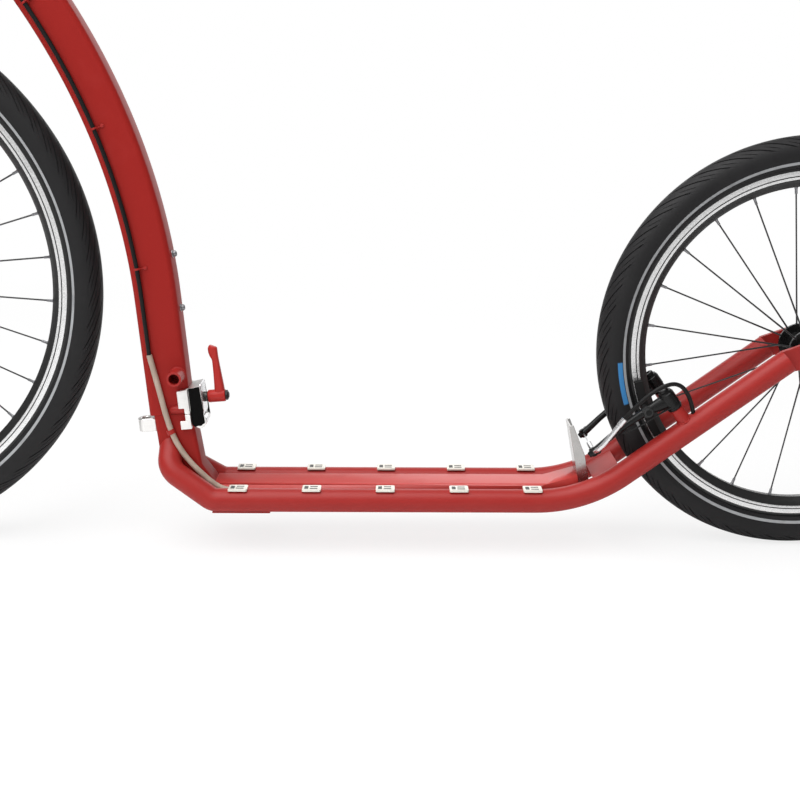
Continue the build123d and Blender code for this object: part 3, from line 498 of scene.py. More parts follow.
@dataclass(frozen=True)
class Finish:
    """A surface finish: two close colours, a roughness range and a fine relief."""

    name: str
    slot: str
    colour: Colour
    shade: Colour
    rough: tuple[float, float]
    metallic: float = 0.0
    scale: float = 900.0
    stretch: tuple[float, float, float] = (1.0, 1.0, 1.0)
    relief: float = 0.15
    depth: float = 0.0002
    worn: Colour | None = None
    wear: float = 0.0
    specular: float = 0.5

    def tint(self, bench: Bench, colour: Socket) -> Socket:
        """Colour of the finish, before wear; bands and patches change it in other finishes."""
        return colour

    def gloss(self, bench: Bench, rough: Socket) -> Socket:
        """Roughness of the finish; bands change it in other finishes."""
        return rough

    def metal(self, bench: Bench) -> Socket | float:
        """Metallic value of the finish."""
        return self.metallic

    def height(self, bench: Bench, height: Socket) -> Socket:
        """Height of the relief."""
        return height

    def material(self) -> bpy.types.Material:
        """The material of this finish, built once.

        Returns:
            The material.
        """
        found = bpy.data.materials.get(self.name)
        if found:
            return found
        made = bpy.data.materials.new(self.name)
        made.use_nodes = True
        bench = Bench(made.node_tree)
        place = bench.add("TexCoord").outputs["Object"]
        mapped = bench.add("Mapping", {"Vector": place, "Scale": self.stretch}).outputs[0]
        grain = bench.effect(Effect.GRAIN, {"Vector": mapped, "Scale": self.scale})
        scuffs = bench.effect(Effect.SCUFF, {"Vector": place, "Scale": SCUFF_SCALE})
        colour = self.tint(bench, bench.mix(grain.outputs["Mask"], self.shade, self.colour))
        rubbed = bench.math("MULTIPLY", scuffs.outputs["Mask"], self.wear)
        colour = bench.mix(rubbed, colour, self.worn or self.colour)
        rough = bench.spread(grain.outputs["Mask"], *self.rough)
        rough = self.gloss(bench, bench.math("MULTIPLY_ADD", rubbed, SCUFF_ROUGH, rough))
        height = self.height(bench, grain.outputs["Height"])
        bump = bench.add("Bump", {"Strength": self.relief, "Distance": self.depth, "Height": height})
        shader = made.node_tree.nodes["Principled BSDF"]
        values = {"Base Color": colour, "Roughness": rough, "Normal": bump.outputs[0], "Metallic": self.metal(bench),
                  "Specular IOR Level": self.specular}
        for key, value in values.items():
            bench.feed(shader.inputs[key], value)
        return made


def across(bench: Bench) -> tuple[Socket, Socket]:
    """The two texture places of a piece: along and across."""
    parts = bench.add("SeparateXYZ", {0: bench.add("UVMap", uv_map="UVMap").outputs[0]}).outputs
    return parts[0], parts[1]


def band(bench: Bench, value: Socket, low: float, high: float, soft: float) -> Socket:
    """Mask that is one between low and high."""
    return bench.effect(Effect.BAND, {"Value": value, "Low": low, "High": high, "Soft": soft}).outputs[0]


@dataclass(frozen=True)
class TyreFinish(Finish):
    """Tyre rubber with a pale reflective line on each side and a plain blue patch on the left one."""

    line: tuple[float, float] = (0.0, 0.0)
    line_colour: Colour = (0.36, 0.37, 0.38)
    patch: tuple[float, float, float, float] | None = None
    patch_colour: Colour = (0.045, 0.22, 0.50)

    def tint(self, bench: Bench, colour: Socket) -> Socket:
        """Rubber colour with the lines and the patch over it.

        Args:
            bench: Nodes of the material.
            colour: Colour of the rubber.

        Returns:
            The mixed colour.
        """
        along, over = across(bench)
        for low, high in (self.line, (1 - self.line[1], 1 - self.line[0])):
            colour = bench.mix(band(bench, over, low, high, 0.002), colour, self.line_colour)
        if self.patch:
            first = band(bench, along, self.patch[0], self.patch[1], 0.001)
            second = band(bench, over, self.patch[2], self.patch[3], 0.003)
            colour = bench.mix(bench.math("MULTIPLY", first, second), colour, self.patch_colour)
        return colour


@dataclass(frozen=True)
class RimFinish(Finish):
    """Black rim with bare brake bands on both sides, each split by a thin dark line."""

    bands: tuple[tuple[float, float], ...] = ()
    bare: Colour = grey(0.78)

    def _bare(self, bench: Bench) -> Socket:
        """Mask of the bare bands.

        Args:
            bench: Nodes of the material.

        Returns:
            One on the bands and nought between them.
        """
        over = across(bench)[1]
        masks = [band(bench, over, low, high, 0.002) for low, high in self.bands]
        total = masks[0]
        for mask in masks[1:]:
            total = bench.math("ADD", total, mask)
        return total

    def tint(self, bench: Bench, colour: Socket) -> Socket:
        """Black with the bare metal over it."""
        return bench.mix(self._bare(bench), colour, self.bare)

    def gloss(self, bench: Bench, rough: Socket) -> Socket:
        """Roughness, a little lower on the bare bands."""
        return bench.math("MULTIPLY_ADD", self._bare(bench), -0.06, rough)

    def metal(self, bench: Bench) -> Socket:
        """Metal on the bare bands alone."""
        return bench.math("MULTIPLY", self._bare(bench), 0.85)


@dataclass(frozen=True)
class GripFinish(Finish):
    """Grip rubber with rows of small raised diamonds."""

    rows: float = 60.0
    around: float = 22.0

    def height(self, bench: Bench, height: Socket) -> Socket:
        """Relief of crossed waves over the grain.

        Args:
            bench: Nodes of the material.
            height: Height of the grain.

        Returns:
            Height with the diamonds.
        """
        along, over = across(bench)
        waves = []
        for sign in (1.0, -1.0):
            turn = bench.math("MULTIPLY_ADD", over, sign * self.around * 2 * pi,
                              bench.math("MULTIPLY", along, self.rows * 2 * pi))
            waves.append(bench.math("SINE", turn))
        cross = bench.math("MULTIPLY", waves[0], waves[1])
        return bench.math("MULTIPLY_ADD", cross, 2.0, height)


RED = Finish("red_powder_coat", "red_paint", (0.350, 0.0200, 0.0165), (0.320, 0.0170, 0.0140), (0.36, 0.47),
             scale=1100.0, relief=0.12, worn=(0.37, 0.032, 0.027), wear=0.35, specular=0.27)
# Lighter copy of the red powder coat for the centre beam: its brighter colour is painted highlight, standing in for the
# light on the beam's top
BEAM_RED_PAINTED_HIGHLIGHT = replace(RED, name="red_beam_painted_highlight", colour=(0.53, 0.040, 0.032), shade=(0.48, 0.034, 0.027), specular=0.85)
# Darker copy of the red powder coat for the main tube and post: its darker colour is painted shade; it also has less
# specular
MAIN_RED_PAINTED_SHADE = replace(RED, name="red_main_painted_shade", colour=(0.325, 0.0180, 0.0145), shade=(0.295, 0.0155, 0.0125),
                   specular=0.10)
LEVER_RED = Finish("red_lever_coat", "red_lever", (0.44, 0.024, 0.019), (0.40, 0.020, 0.016), (0.32, 0.44),
                   scale=800.0, relief=0.18, worn=(0.48, 0.045, 0.040), wear=0.3, specular=0.24)
STAINLESS = Finish("brushed_stainless", "brushed_metal", (0.86, 0.85, 0.83), (0.76, 0.75, 0.73), (0.28, 0.42),
                   metallic=1.0, scale=90.0, stretch=(1.0, 1.0, 24.0), relief=0.10, worn=(0.80, 0.80, 0.79), wear=0.4)
PLATE = Finish("pressed_plate", "brushed_metal", (0.86, 0.82, 0.74), (0.76, 0.73, 0.66), (0.30, 0.44), metallic=0.5,
               scale=110.0, stretch=(1.0, 16.0, 1.0), relief=0.08, worn=(0.60, 0.58, 0.54), wear=0.4)
POLISHED = Finish("polished_stainless", "brushed_metal", (0.46, 0.45, 0.44), (0.40, 0.39, 0.38), (0.18, 0.30),
                  metallic=1.0, scale=120.0, stretch=(1.0, 18.0, 1.0), relief=0.06, worn=(0.70, 0.69, 0.68), wear=0.3)
STEEL = Finish("plated_steel", "steel", (0.80, 0.80, 0.81), (0.70, 0.70, 0.71), (0.20, 0.34), metallic=1.0,
               scale=700.0, relief=0.10, worn=grey(0.5), wear=0.3)
NICKEL = replace(STEEL, name="dull_nickel", colour=(0.26, 0.26, 0.27), shade=(0.20, 0.20, 0.21), rough=(0.34, 0.46))
DARK_STEEL = replace(NICKEL, name="dark_steel", colour=(0.105, 0.098, 0.092), shade=(0.080, 0.074, 0.070))
BLACK = Finish("black_metal", "black_metal", (0.0055, 0.0052, 0.0052), grey(0.004), (0.34, 0.50), scale=1500.0,
               relief=0.14, worn=grey(0.012), wear=0.4, specular=0.14)
LEAF_BLACK = replace(BLACK, name="leaf_black", rough=(0.50, 0.64), specular=0.04)
BLACK_GLOSS = Finish("black_gloss_metal", "black_metal", grey(0.008), grey(0.005), (0.20, 0.32), scale=1300.0,
                     relief=0.10, worn=grey(0.016), wear=0.35, specular=0.24)
SPOKE_BLACK = Finish("black_spoke", "black_metal", (0.02, 0.02, 0.021), (0.013, 0.013, 0.014), (0.28, 0.40),
                     relief=0.08, worn=grey(0.04), wear=0.3)
SHOE = Finish("brake_shoe_rubber", "shoe_rubber", grey(0.012), grey(0.008), (0.6, 0.8), scale=700.0, relief=0.2,
              worn=grey(0.02), wear=0.5, specular=0.2)
HOUSING = Finish("cable_housing", "housing", (0.009, 0.008, 0.008), grey(0.006), (0.34, 0.46), scale=600.0,
                 relief=0.08, worn=grey(0.014), wear=0.3, specular=0.18)
SLEEVE = Finish("milky_sleeve", "clear_sleeve", (0.45, 0.355, 0.285), (0.36, 0.28, 0.22), (0.32, 0.46), scale=120.0,
                stretch=(1.0, 1.0, 0.3), relief=0.08, worn=(0.58, 0.50, 0.39), wear=0.5)
GRIP = GripFinish("grip_rubber", "grip_rubber", (0.020, 0.020, 0.021), grey(0.012), (0.6, 0.8), relief=0.6,
                  depth=0.0006, worn=grey(0.035), wear=0.4)


@dataclass
class Layout:
    """Places on the bike, in metres."""

    rear_axle: Array = spot(-0.495, 0, 0.165)
    front_axle: Array = spot(0.653, 0, 0.2415)
    cut: Array = spot(0.2562, 0, 0.082)
    lean: float = radians(4.7)
    straight_up: float = 0.1385
    head_angle: float = radians(72.0)
    fork_offset: float = 0.045
    head_join: float = 0.4604
    stay_start: Array = spot(-0.345, 0, 0.066)
    stay_angle: float = radians(36.87)

    def __post_init__(self) -> None:
        """Works out the directions and the main tube's arc."""
        lean_back, self.lean_up = slope(self.lean)
        self.lean_fore = -lean_back
        self.head_up, self.head_fore = slope(self.head_angle)
        self.stay_dir, self.stay_up = slope(self.stay_angle)
        self.head_foot = self.front_axle - self.head_fore * self.fork_offset
        self.arc_foot = self.cut + self.lean_up * self.straight_up
        span = self.head_foot + self.head_up * self.head_join - self.arc_foot
        self.arc_r = float(span @ span / (2 * span @ self.lean_fore))
        self.arc_sweep = 2 * atan2(float(span @ self.lean_fore), float(span @ self.lean_up))

    def tube(self, fore: float, side: float, up: float) -> Array:
        """Point from the tube's middle at the cut: forward, left and up along the leaning tube."""
        return self.cut + self.lean_fore * fore + (0, side, 0) + self.lean_up * up

    def arc(self, fore: float, side: float, turn: Any) -> Array:
        """Points beside the bent part of the main tube.

        Args:
            fore: Distance forward of the middle line.
            side: Distance to the left.
            turn: Angle or angles from the arc's start.

        Returns:
            One point for each angle.
        """
        angle = np.asarray(self.lean + np.asarray(turn, float))
        middle = self.arc_foot + self.lean_fore * self.arc_r + (0, side, 0)
        way = np.stack([-np.cos(angle), np.zeros_like(angle), np.sin(angle)], -1)
        return middle + way * (self.arc_r - fore)

    def fork(self, fore: float, side: float, up: float) -> Array:
        """Point from the foot of the steering axis: forward, left and up along the axis."""
        return self.head_foot + self.head_fore * fore + (0, side, 0) + self.head_up * up

    def stay(self, back: float, side: float, above: float) -> Array:
        """Point from the stays' start: back along them, left and square above them."""
        return self.stay_start + self.stay_dir * back + (0, side, 0) + self.stay_up * above


@dataclass
class Piece:
    """Puts a shape into the scene as a named piece of the bike."""

    name: str
    finish: Finish
    body: Body | None
    stands_for: tuple[str, ...] = ()
    smooth: float = 35.0
    bevel: float = 0.0

    def place(self, patch: Patch) -> Thing:
        """Makes the mesh of a patch.

        Args:
            patch: Points and faces.

        Returns:
            The object, riding on its body.
        """
        mesh = bpy.data.meshes.new(self.name)
        faces = patch.quads.tolist() + [row for c in patch.caps for row in c.tolist()]
        mesh.from_pydata(patch.points.tolist(), [], faces)
        rest = sum(c.size for c in patch.caps)
        places = np.concatenate([patch.uv.reshape(-1), np.zeros(2 * rest)])
        mesh.uv_layers.new(name="UVMap").data.foreach_set("uv", places)
        return self._finish(mesh)

    def soften(self, node: str, flat: float = 1.0) -> Thing:
        """Makes a merged copy of a solid, with its flat faces joined, for a small round on its edges.

        Args:
            node: Name of the solid.
            flat: Angle in degrees up to which faces count as flat.

        Returns:
            The object, riding on its body.
        """
        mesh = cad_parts[node].data.copy()
        mesh.name = self.name
        shape = bmesh.new()
        shape.from_mesh(mesh)
        bmesh.ops.remove_doubles(shape, verts=shape.verts, dist=MERGE_DISTANCE)
        bmesh.ops.dissolve_limit(shape, angle_limit=radians(flat), verts=shape.verts, edges=shape.edges)
        shape.to_mesh(mesh)
        shape.free()
        mesh.materials.clear()
        if mesh.has_custom_normals:
            mesh.normals_split_custom_set_from_vertices([(0.0, 0.0, 0.0)] * len(mesh.vertices))
        return self._finish(mesh)

    def _finish(self, mesh: bpy.types.Mesh) -> Thing:
        """Dresses the mesh, rounds its edges and hangs it on its body.

        Args:
            mesh: The mesh.

        Returns:
            The object.
        """
        mesh.polygons.foreach_set("use_smooth", np.ones(len(mesh.polygons), bool))
        mesh.set_sharp_from_angle(angle=radians(self.smooth))
        mesh.materials.append(self.finish.material())
        made = linked(self.name, mesh)
        if self.bevel:
            edge = made.modifiers.new("edge_round", "BEVEL")
            edge.width, edge.segments, edge.limit_method = self.bevel, 2, "ANGLE"
            edge.angle_limit, edge.harden_normals = EDGE_ANGLE, True
        if self.body:
            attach(made, self.body.value)
        if self.stands_for:
            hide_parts(*self.stands_for)
        log.info("%s: %d faces", self.name, len(mesh.polygons))
        return made


def redo(node: str, ending: str, finish: Finish, body: Body | None, patch: Patch, smooth: float = 35.0) -> Thing:
    """Puts a new shape in the place of a solid."""
    return Piece(f"{node}_{ending}", finish, body, (node,), smooth).place(patch)


def keep(node: str, finish: Finish, body: Body, bevel: float, ending: str = "finished") -> None:
    """Dresses a solid as it is, with a small round on its edges."""
    Piece(f"{node}_{ending}", finish, body, (node,), bevel=bevel).soften(node)


@dataclass
class Wheel:
    """Tyre, rim, spokes and hub of one wheel, with the axle it turns on."""

    name: str
    axle: Array
    radius: float
    spokes: int
    flange: float
    old: float
    body: Body
    holder: Body
    pitches: int
    patch: tuple[float, float, float, float] | None = None
    tyre_w: float = 0.042
    rim_half: float = 0.012
    track: float = 0.013
    bed: float = 0.009
    flange_r: float = 0.0215
    spoke_r: float = 0.001
    groove: float = 0.0011
    groove_slant: float = 0.19
    section_steps: int = 61
    rim_steps: int = 180

    @property
    def bead(self) -> float:
        """Radius of the rim's brake band."""
        return self.radius - self.tyre_w

    def build(self) -> None:
        """Builds and dresses the wheel's pieces."""
        self.tyre()
        self.rim()
        self.wires()
        self.hub()

    def around(self, angle: Array, radius: Array, side: Array) -> Array:
        """Points at an angle and radius about the axle, moved sideways."""
        x, z = self.axle[0] + radius * np.cos(angle), self.axle[2] + radius * np.sin(angle)
        return np.stack(np.broadcast_arrays(x, side, z), -1)

    def tyre(self) -> None:
        """Tyre with slanting grooves.

        The section is a circle about the tyre's middle, closed by a foot in the rim. Grid rows lean along the grooves:
        the angle round the axle is the row's own plus a share of the section angle, the same on both sides. Rows in a
        groove lie deeper, by a window over the section angle.
        """
        half, limit = self.tyre_w / 2, radians(133)
        section = np.linspace(-limit, limit, self.section_steps)
        share = np.array([0, 0.03, 0.13, 0.16, 0.33, 0.5, 0.515, 0.56, 0.575, 0.78])
        main = np.array([0, 1, 1, 0, 0, 0, 0, 0, 0, 0])
        short = np.array([0, 0, 0, 0, 0, 0, 1, 1, 0, 0])
        start = (np.arange(self.pitches)[:, None] + share).reshape(-1) * 2 * pi / self.pitches
        bend = np.abs(section)

        def window(low: float, high: float) -> Array:
            """One between two section angles in degrees, with soft ends of eight degrees."""
            rise = np.clip((np.degrees(bend) - low) / 8, 0, 1)
            return rise * np.clip((high - np.degrees(bend)) / 8, 0, 1)

        main, short = (np.tile(row, self.pitches)[:, None] for row in (main, short))
        depth = main * window(7, 66) + 0.7 * short * window(34, 60)
        angle = start[:, None] + self.groove_slant * np.minimum(bend, radians(95))
        reach = half - self.groove * depth
        radius = self.radius - half + reach * np.cos(section)
        side = reach * np.sin(section)
        foot = mm([(6.6, 12.8), (6, 10.4), (2, 10.4), (2, -10.4), (6, -10.4), (6.6, -12.8)]) + (self.bead, 0)
        rest = np.broadcast_to(foot, (len(start), *foot.shape))
        last = np.broadcast_to(angle[:, -1:], rest.shape[:2])
        angle = np.hstack([angle, last])
        radius, side = np.hstack([radius, rest[..., 0]]), np.hstack([side, rest[..., 1]])
        over = np.concatenate([np.linspace(0, 1, self.section_steps), np.linspace(1.01, 1.1, len(foot) + 1)])
        turns = np.vstack([angle, angle[:1] + 2 * pi]) / (2 * pi)
        turns = np.hstack([turns, turns[:, -1:]])
        uv = np.stack(np.broadcast_arrays(turns, over), -1)
        patch = sheet(self.around(angle, radius, side), round_rows=True, round_cols=True, uv=uv)
        finish = TyreFinish(f"{self.name}_tyre_rubber", "tyre_rubber", (0.0105, 0.0100, 0.0108),
                            (0.0075, 0.0072, 0.0078), (0.50, 0.68), scale=600.0, relief=0.25,
                            worn=(0.020, 0.019, 0.020), wear=0.5, specular=0.28, line=(0.914, 0.950), patch=self.patch)
        redo(f"{self.name}_tyre", "treaded", finish, self.body, patch, 30)

    def rim(self) -> None:
        """Rim turned from its section; the texture place across is the depth below the rim's edge, left or right."""
        top, low = self.bead + self.track / 2, self.bead - self.track / 2
        bed, half = low - self.bed, self.rim_half
        side = [(top, half - 0.0007), (top - 0.0006, half), (low + 0.0012, half), (low - 0.0008, half - 0.0006),
                (low - 0.0045, half - 0.0034), (bed + 0.0016, half - 0.0062), (bed, half - 0.0080)]
        inner = [(top - 0.005, half - 0.0015), (top, half - 0.0015)]
        right = [(r, -y) for rows in (side, inner) for r, y in reversed(rows)]
        rows = np.array([*side, *right, *inner])
        angle = np.linspace(0, 2 * pi, self.rim_steps, endpoint=False)[:, None]
        depth = 0.5 + np.sign(rows[:, 1]) * (top - rows[:, 0]) * 10
        depth[-4:] = 0.5
        depth = np.append(depth, depth[0])
        turns = np.linspace(0, 1, self.rim_steps + 1)[:, None]
        uv = np.stack(np.broadcast_arrays(turns, depth), -1)
        patch = sheet(self.around(angle, rows[:, 0], rows[:, 1]), round_rows=True, round_cols=True, uv=uv)
        bands = [(0.535, 0.587), (0.600, 0.628)]
        bands += [(1 - high, 1 - low) for low, high in bands]
        finish = RimFinish("black_rim_bare_bands", "black_rim", grey(0.009), grey(0.006), (0.28, 0.42), scale=500.0,
                           relief=0.025, worn=grey(0.03), wear=0.2, bands=tuple(bands))
        redo(f"{self.name}_rim", "banded", finish, self.body, patch, 28)

    def wires(self) -> None:
        """Straight spokes, left and right in turn, each with a nipple at the rim."""
        turn = 2 * pi * (np.arange(self.spokes) + 0.5) / self.spokes
        zero, one = np.zeros_like(turn), np.ones_like(turn)
        rows = ((np.cos(turn), zero, np.sin(turn)), (zero, one, zero), (-np.sin(turn), zero, np.cos(turn)))
        spin = np.stack([np.stack(row, -1) for row in rows], 1)
        shift = np.broadcast_to(self.axle, (self.spokes, 3))
        end = np.array((self.bead - self.track / 2 - self.bed + 0.001, 0, 0))
        share, thick = np.array([0, 0.45, 0.9, 1.0])[:, None], np.array([1.1, 0.95, 0.95, 1.1])
        spokes, nipples = [], []
        for first, sign in ((0, -1), (1, 1)):
            start = np.array((self.flange_r, sign * self.flange, 0))
            wire = carry(start + (end - start) * share, circle(self.spoke_r, 8), (0, 0, 1), thick)
            nipple = turned([(-9.5, 1.1), (-9, 1.6), (-3.5, 1.7), (-2.5, 2.1), (0, 2.3)], end, end - start, 8)
            head = turned([(-2.6, 1.2), (-2.2, 1.9), (-0.8, 2.2), (0.8, 1.8)], start + (0, sign * 0.0022, 0),
                          (0, sign, 0), 8)
            spokes.append(copies(stack([wire, head]), shift[first::2], spin[first::2]))
            nipples.append(copies(nipple, shift[first::2], spin[first::2]))
        redo(f"{self.name}_spokes", "drawn", SPOKE_BLACK, self.body, stack(spokes))
        Piece(f"{self.name}_spoke_nipples", NICKEL, self.body).place(stack(nipples))

    def hub(self) -> None:
        """Hub shell turned about the axle: waisted barrel, two flanges and end caps; axle kept with rounded edges."""
        end, wall = 500 * self.old - 1.9, 1000 * self.flange
        half = [(0, 11.8), (wall - 8, 12.2), (wall - 2.8, 14), (wall - 2, 22.6), (wall - 1.4, 23), (wall + 1.4, 23),
                (wall + 2, 22.6), (wall + 2.8, 15), (wall + 6, 13.4), (end - 1, 13), (end, 12), (end, 6)]
        patch = turned([*((-y, r) for y, r in reversed(half[1:])), *half], self.axle, (0, 1, 0), 48)
        redo(f"{self.name}_hub", "turned", BLACK_GLOSS, self.body, patch, 30)
        keep(f"{self.name}_axle", STEEL, self.holder, 0.0005, "nuts")


@dataclass
class Deck:
    """Deck tubes, centre beam, grip plates, heel guard and what joins them."""

    at: Layout
    tube_r: float = 0.014
    track: float = 0.042
    low: float = -0.016
    stay_length: float = 0.150
    plate: tuple[float, float, float] = (0.0225, 0.019, 0.002)
    plate_end: float = 0.1748
    plates: int = 5

    def build(self) -> None:
        """Builds and dresses the deck's pieces."""
        self.tubes()
        self.grip_plates()
        # The centre beam takes the lighter copy of the red coat, whose colour is painted highlight
        for node, finish, bevel in (("centre_deck_beam", BEAM_RED_PAINTED_HIGHLIGHT, 0.0), ("rear_bridge", RED, 0.0012),
                                    ("rear_dropouts", RED, 0.001), ("skid_plate", RED, 0.0006),
                                    ("heel_guard", POLISHED, 0.0005)):
            keep(node, finish, Body.REAR, bevel)

    def tube_path(self, sign: int) -> Array:
        """Middle line of one deck tube, from the post's side back to the axle.

        Args:
            sign: One for the left tube, minus one for the right.

        Returns:
            Points of the line.
        """
        start, side = self.at.stay_start, sign * self.track
        knee = start[0] + (start[2] - self.low) / tan(self.at.stay_angle)
        points = [(0.258, sign * 0.002, 0.050), (0.258, sign * 0.031, 0.019), (0.205, side, self.low),
                  (knee, side, self.low), self.at.stay(self.stay_length, side, 0)]
        return bent(points, (0.025, 0.020, 0.170), 20)

    def tubes(self) -> None:
        """Round deck tubes: a circle carried along the bent line."""
        for side, sign in (("left", 1), ("right", -1)):
            patch = carry(self.tube_path(sign), circle(self.tube_r, 40), (0, 1, 0))
            redo(f"{side}_deck_tube", "bent", RED, Body.REAR, patch, 40)

    def grip_plates(self) -> None:
        """Grip plates: a rounded rectangle raised in rings that draw in to a soft top edge."""
        length, width, thick = self.plate
        levels = ((-thick - 0.0003, 0), (-0.0006, 0), (-0.0002, 0.0002), (0, 0.0006))
        rings = [(high, 1 - 2 * inset / np.array((length, width))) for high, inset in levels]
        x, y = np.meshgrid(np.linspace(-self.plate_end, self.plate_end, self.plates), (-self.track, self.track))
        shifts = np.stack([x.ravel(), y.ravel(), np.zeros(x.size)], -1)
        patch = raised(rounded_box(length, width, 0.0018), rings, (np.zeros(3), *np.eye(3)))
        redo("grip_plates", "pressed", PLATE, Body.REAR, copies(patch, shifts))
        self.marks(shifts)

    def marks(self, plates: Array) -> None:
        """Dark pressed bars on each plate: low rounded rectangles, repeated on every plate.

        Args:
            plates: Middle of each plate.
        """
        bars = mm([(6.2, 0, 4.6, 10), (-2.6, 3.4, 9, 3), (-2.6, -3.4, 9, 3)])
        made = [raised(rounded_box(length, width, 0.0006, 4), ((-0.0003, 1), (0.00012, 1)), ((x, y, 0), *np.eye(3)))
                for x, y, length, width in bars]
        Piece("grip_plate_marks", BLACK, Body.REAR).place(copies(stack(made), plates))


@dataclass
class Fold:
    """Main tube, post and the clamp of the fold."""

    at: Layout
    depth: float = 0.050
    width: float = 0.036
    corner: float = 0.0065
    head_r: float = 0.022
    head_span: tuple[float, float] = (0.402, 0.552)
    boss_ups: tuple[float, float] = (0.1245, 0.1865)
    handle_share: float = 1.030
    stud_up: float = 0.0150
    pin: tuple[float, float] = (0.2205, 0.072)
    head_stop: float = 0.046
    head_sunk: float = 0.0004
    backing: tuple[float, float] = (0.030, 0.037)
    lever_back: float = 0.0592
    socket: tuple[float, float] = (-0.015, 0.048)
    socket_r: float = 0.0088

    def build(self) -> None:
        """Builds and dresses the fold's pieces."""
        self.main_tube()
        self.head_tube()
        self.bottle_bolts()
        self.catches()
        self.stud()
        self.lever()
        self.leaf_sides()
        self.welds()
        # The hinge post takes the darker copy of the red coat, whose colour is painted shade
        for node, finish, bevel in (("hinge_post", MAIN_RED_PAINTED_SHADE, 0.0015), ("tow_eye", STAINLESS, 0.0012),
                                    ("lower_clamp_cheeks", STAINLESS, 0.0008)):
            keep(node, finish, Body.REAR, bevel)
        for node, finish, bevel in (("upper_clamp_cheeks", STAINLESS, 0.0008), ("hinge_pin", BLACK_GLOSS, 0.0004),
                                    ("clamp_leaf", STAINLESS, 0.0008), ("side_socket", RED, 0.0006)):
            keep(node, finish, Body.FRONT, bevel)

    def main_tube(self) -> None:
        """Main tube: a rounded rectangle carried up the straight end and along the arc, its last ring on the head."""
        at = self.at
        straight = at.cut + at.lean_up * np.linspace(0.0003, at.straight_up, 6)[:, None]
        turn = np.linspace(0, at.arc_sweep - self.head_stop / at.arc_r, 44)[1:]
        path = np.vstack([straight, at.arc(0, 0, turn)])
        patch = carry(path, rounded_box(self.depth, self.width, self.corner), (0, 1, 0))
        grid = patch.points.reshape(len(path), -1, 3)
        way = unit(path[-1] - path[-2])
        off = grid[-1] - at.head_foot
        off = off - (off @ at.head_up)[:, None] * at.head_up
        flat = way - (way @ at.head_up) * at.head_up
        lean, size = off @ flat, flat @ flat
        rest = (off * off).sum(-1) - (self.head_r - self.head_sunk) ** 2
        reach = (-lean - np.sqrt(lean ** 2 - size * rest)) / size
        self.head_ring = grid[-1] + reach[:, None] * way
        grid = np.concatenate([grid, self.head_ring[None]])
        # The main tube takes the darker copy of the red coat, whose colour is painted shade
        redo("main_tube", "swept", MAIN_RED_PAINTED_SHADE, Body.FRONT, sheet(grid, round_cols=True, ends=True), 40)

    def catches(self) -> None:
        """Small round catch on each side of the main tube, just above the cut, with a domed end."""
        profile = [(-19.5, 3.6), (-19, 4.4), (-16.5, 5.4), (-8.5, 5.4), (-6.5, 4.9), (-2.5, 4.2), (-1.4, 3.4),
                   (-1, 1.8)]
        place = self.at.tube(0, self.width / 2, 0.0060)
        Piece("fold_catches", RED, Body.FRONT).place(mirrored(turned(profile, place, self.at.lean_fore, 20)))

    def stud(self) -> None:
        """Clamp stud: a bright backing plate behind the leaf, a dark grooved collar and a dark end nut."""
        at, size = self.at, np.array(self.backing)
        rings = [(high, 1 - 2 * inset / size) for high, inset in ((-0.0385, 0), (-0.0396, 0), (-0.0400, 0.0005))]
        plate = raised(rounded_box(*size, 0.003), rings, (at.tube(0, 0, 0.0155), (0, 1, 0), at.lean_up, at.lean_fore))
        Piece("clamp_backing_plate", STEEL, Body.FRONT, ("clamp_stud",)).place(plate)
        collar = [(40, 5.8), (40.4, 6.2), (41.4, 6.2), (41.7, 5.6), (42.1, 5.6), (42.4, 6.2), (43.4, 6.2), (43.7, 5.6),
                  (44.1, 5.6), (44.5, 6), (44.7, 4)]
        nut = [(65.5, 3.6), (65.7, 5.6), (66.1, 6), (68.2, 6), (68.8, 5.4), (68.8, 3.6), (69.8, 3.4), (70, 2.8)]
        place, way = at.tube(0, 0, self.stud_up), -at.lean_fore
        Piece("clamp_stud_collar", DARK_STEEL, Body.FRONT).place(turned(collar, place, way, 32))
        Piece("clamp_stud_nut", BLACK_GLOSS, Body.FRONT).place(turned(nut, place, way, 8))

    def leaf_sides(self) -> None:
        """Dark plates on the leaf's sides, a rounded outline raised sideways, and a bright bush round the pin's lug."""
        at = self.at
        corners = mm([(-25.6, 30.6), (-38.7, 32), (-40.8, -12.8), (-28.6, -16.4), (-25.6, -13.6)])
        start = (corners[:1] + corners[-1:]) / 2
        outline = bent(np.vstack([start, corners, start]), (0.001, 0.001, 0.002, 0.002, 0.001), 5)[:-1]
        rings = ((0.0198, 1.0), (0.0209, 1.0), (0.0213, 0.98))
        plate = raised(outline, rings, (at.cut, at.lean_fore, at.lean_up, (0, 1, 0)), corners.mean(0))
        Piece("clamp_leaf_sides", LEAF_BLACK, Body.FRONT).place(mirrored(plate))
        profile = [(-8.1, 5), (-8.1, 6.1), (-7.8, 6.4), (7.8, 6.4), (8.1, 6.1), (8.1, 5)]
        bush = turned(profile, (self.pin[0], 0, self.pin[1]), (0, 1, 0), 32, hollow=True)
        Piece("hinge_bush", STEEL, Body.REAR).place(bush)

    def lever(self) -> None:
        """Clamp lever: a turned hub and a flat handle, whose outline narrows upward and hooks forward at its tip."""
        at = self.at
        hub = [(44.6, 6), (45.2, 7.2), (46, 7.6), (64.5, 7.6), (65.3, 7.2), (65.6, 5)]
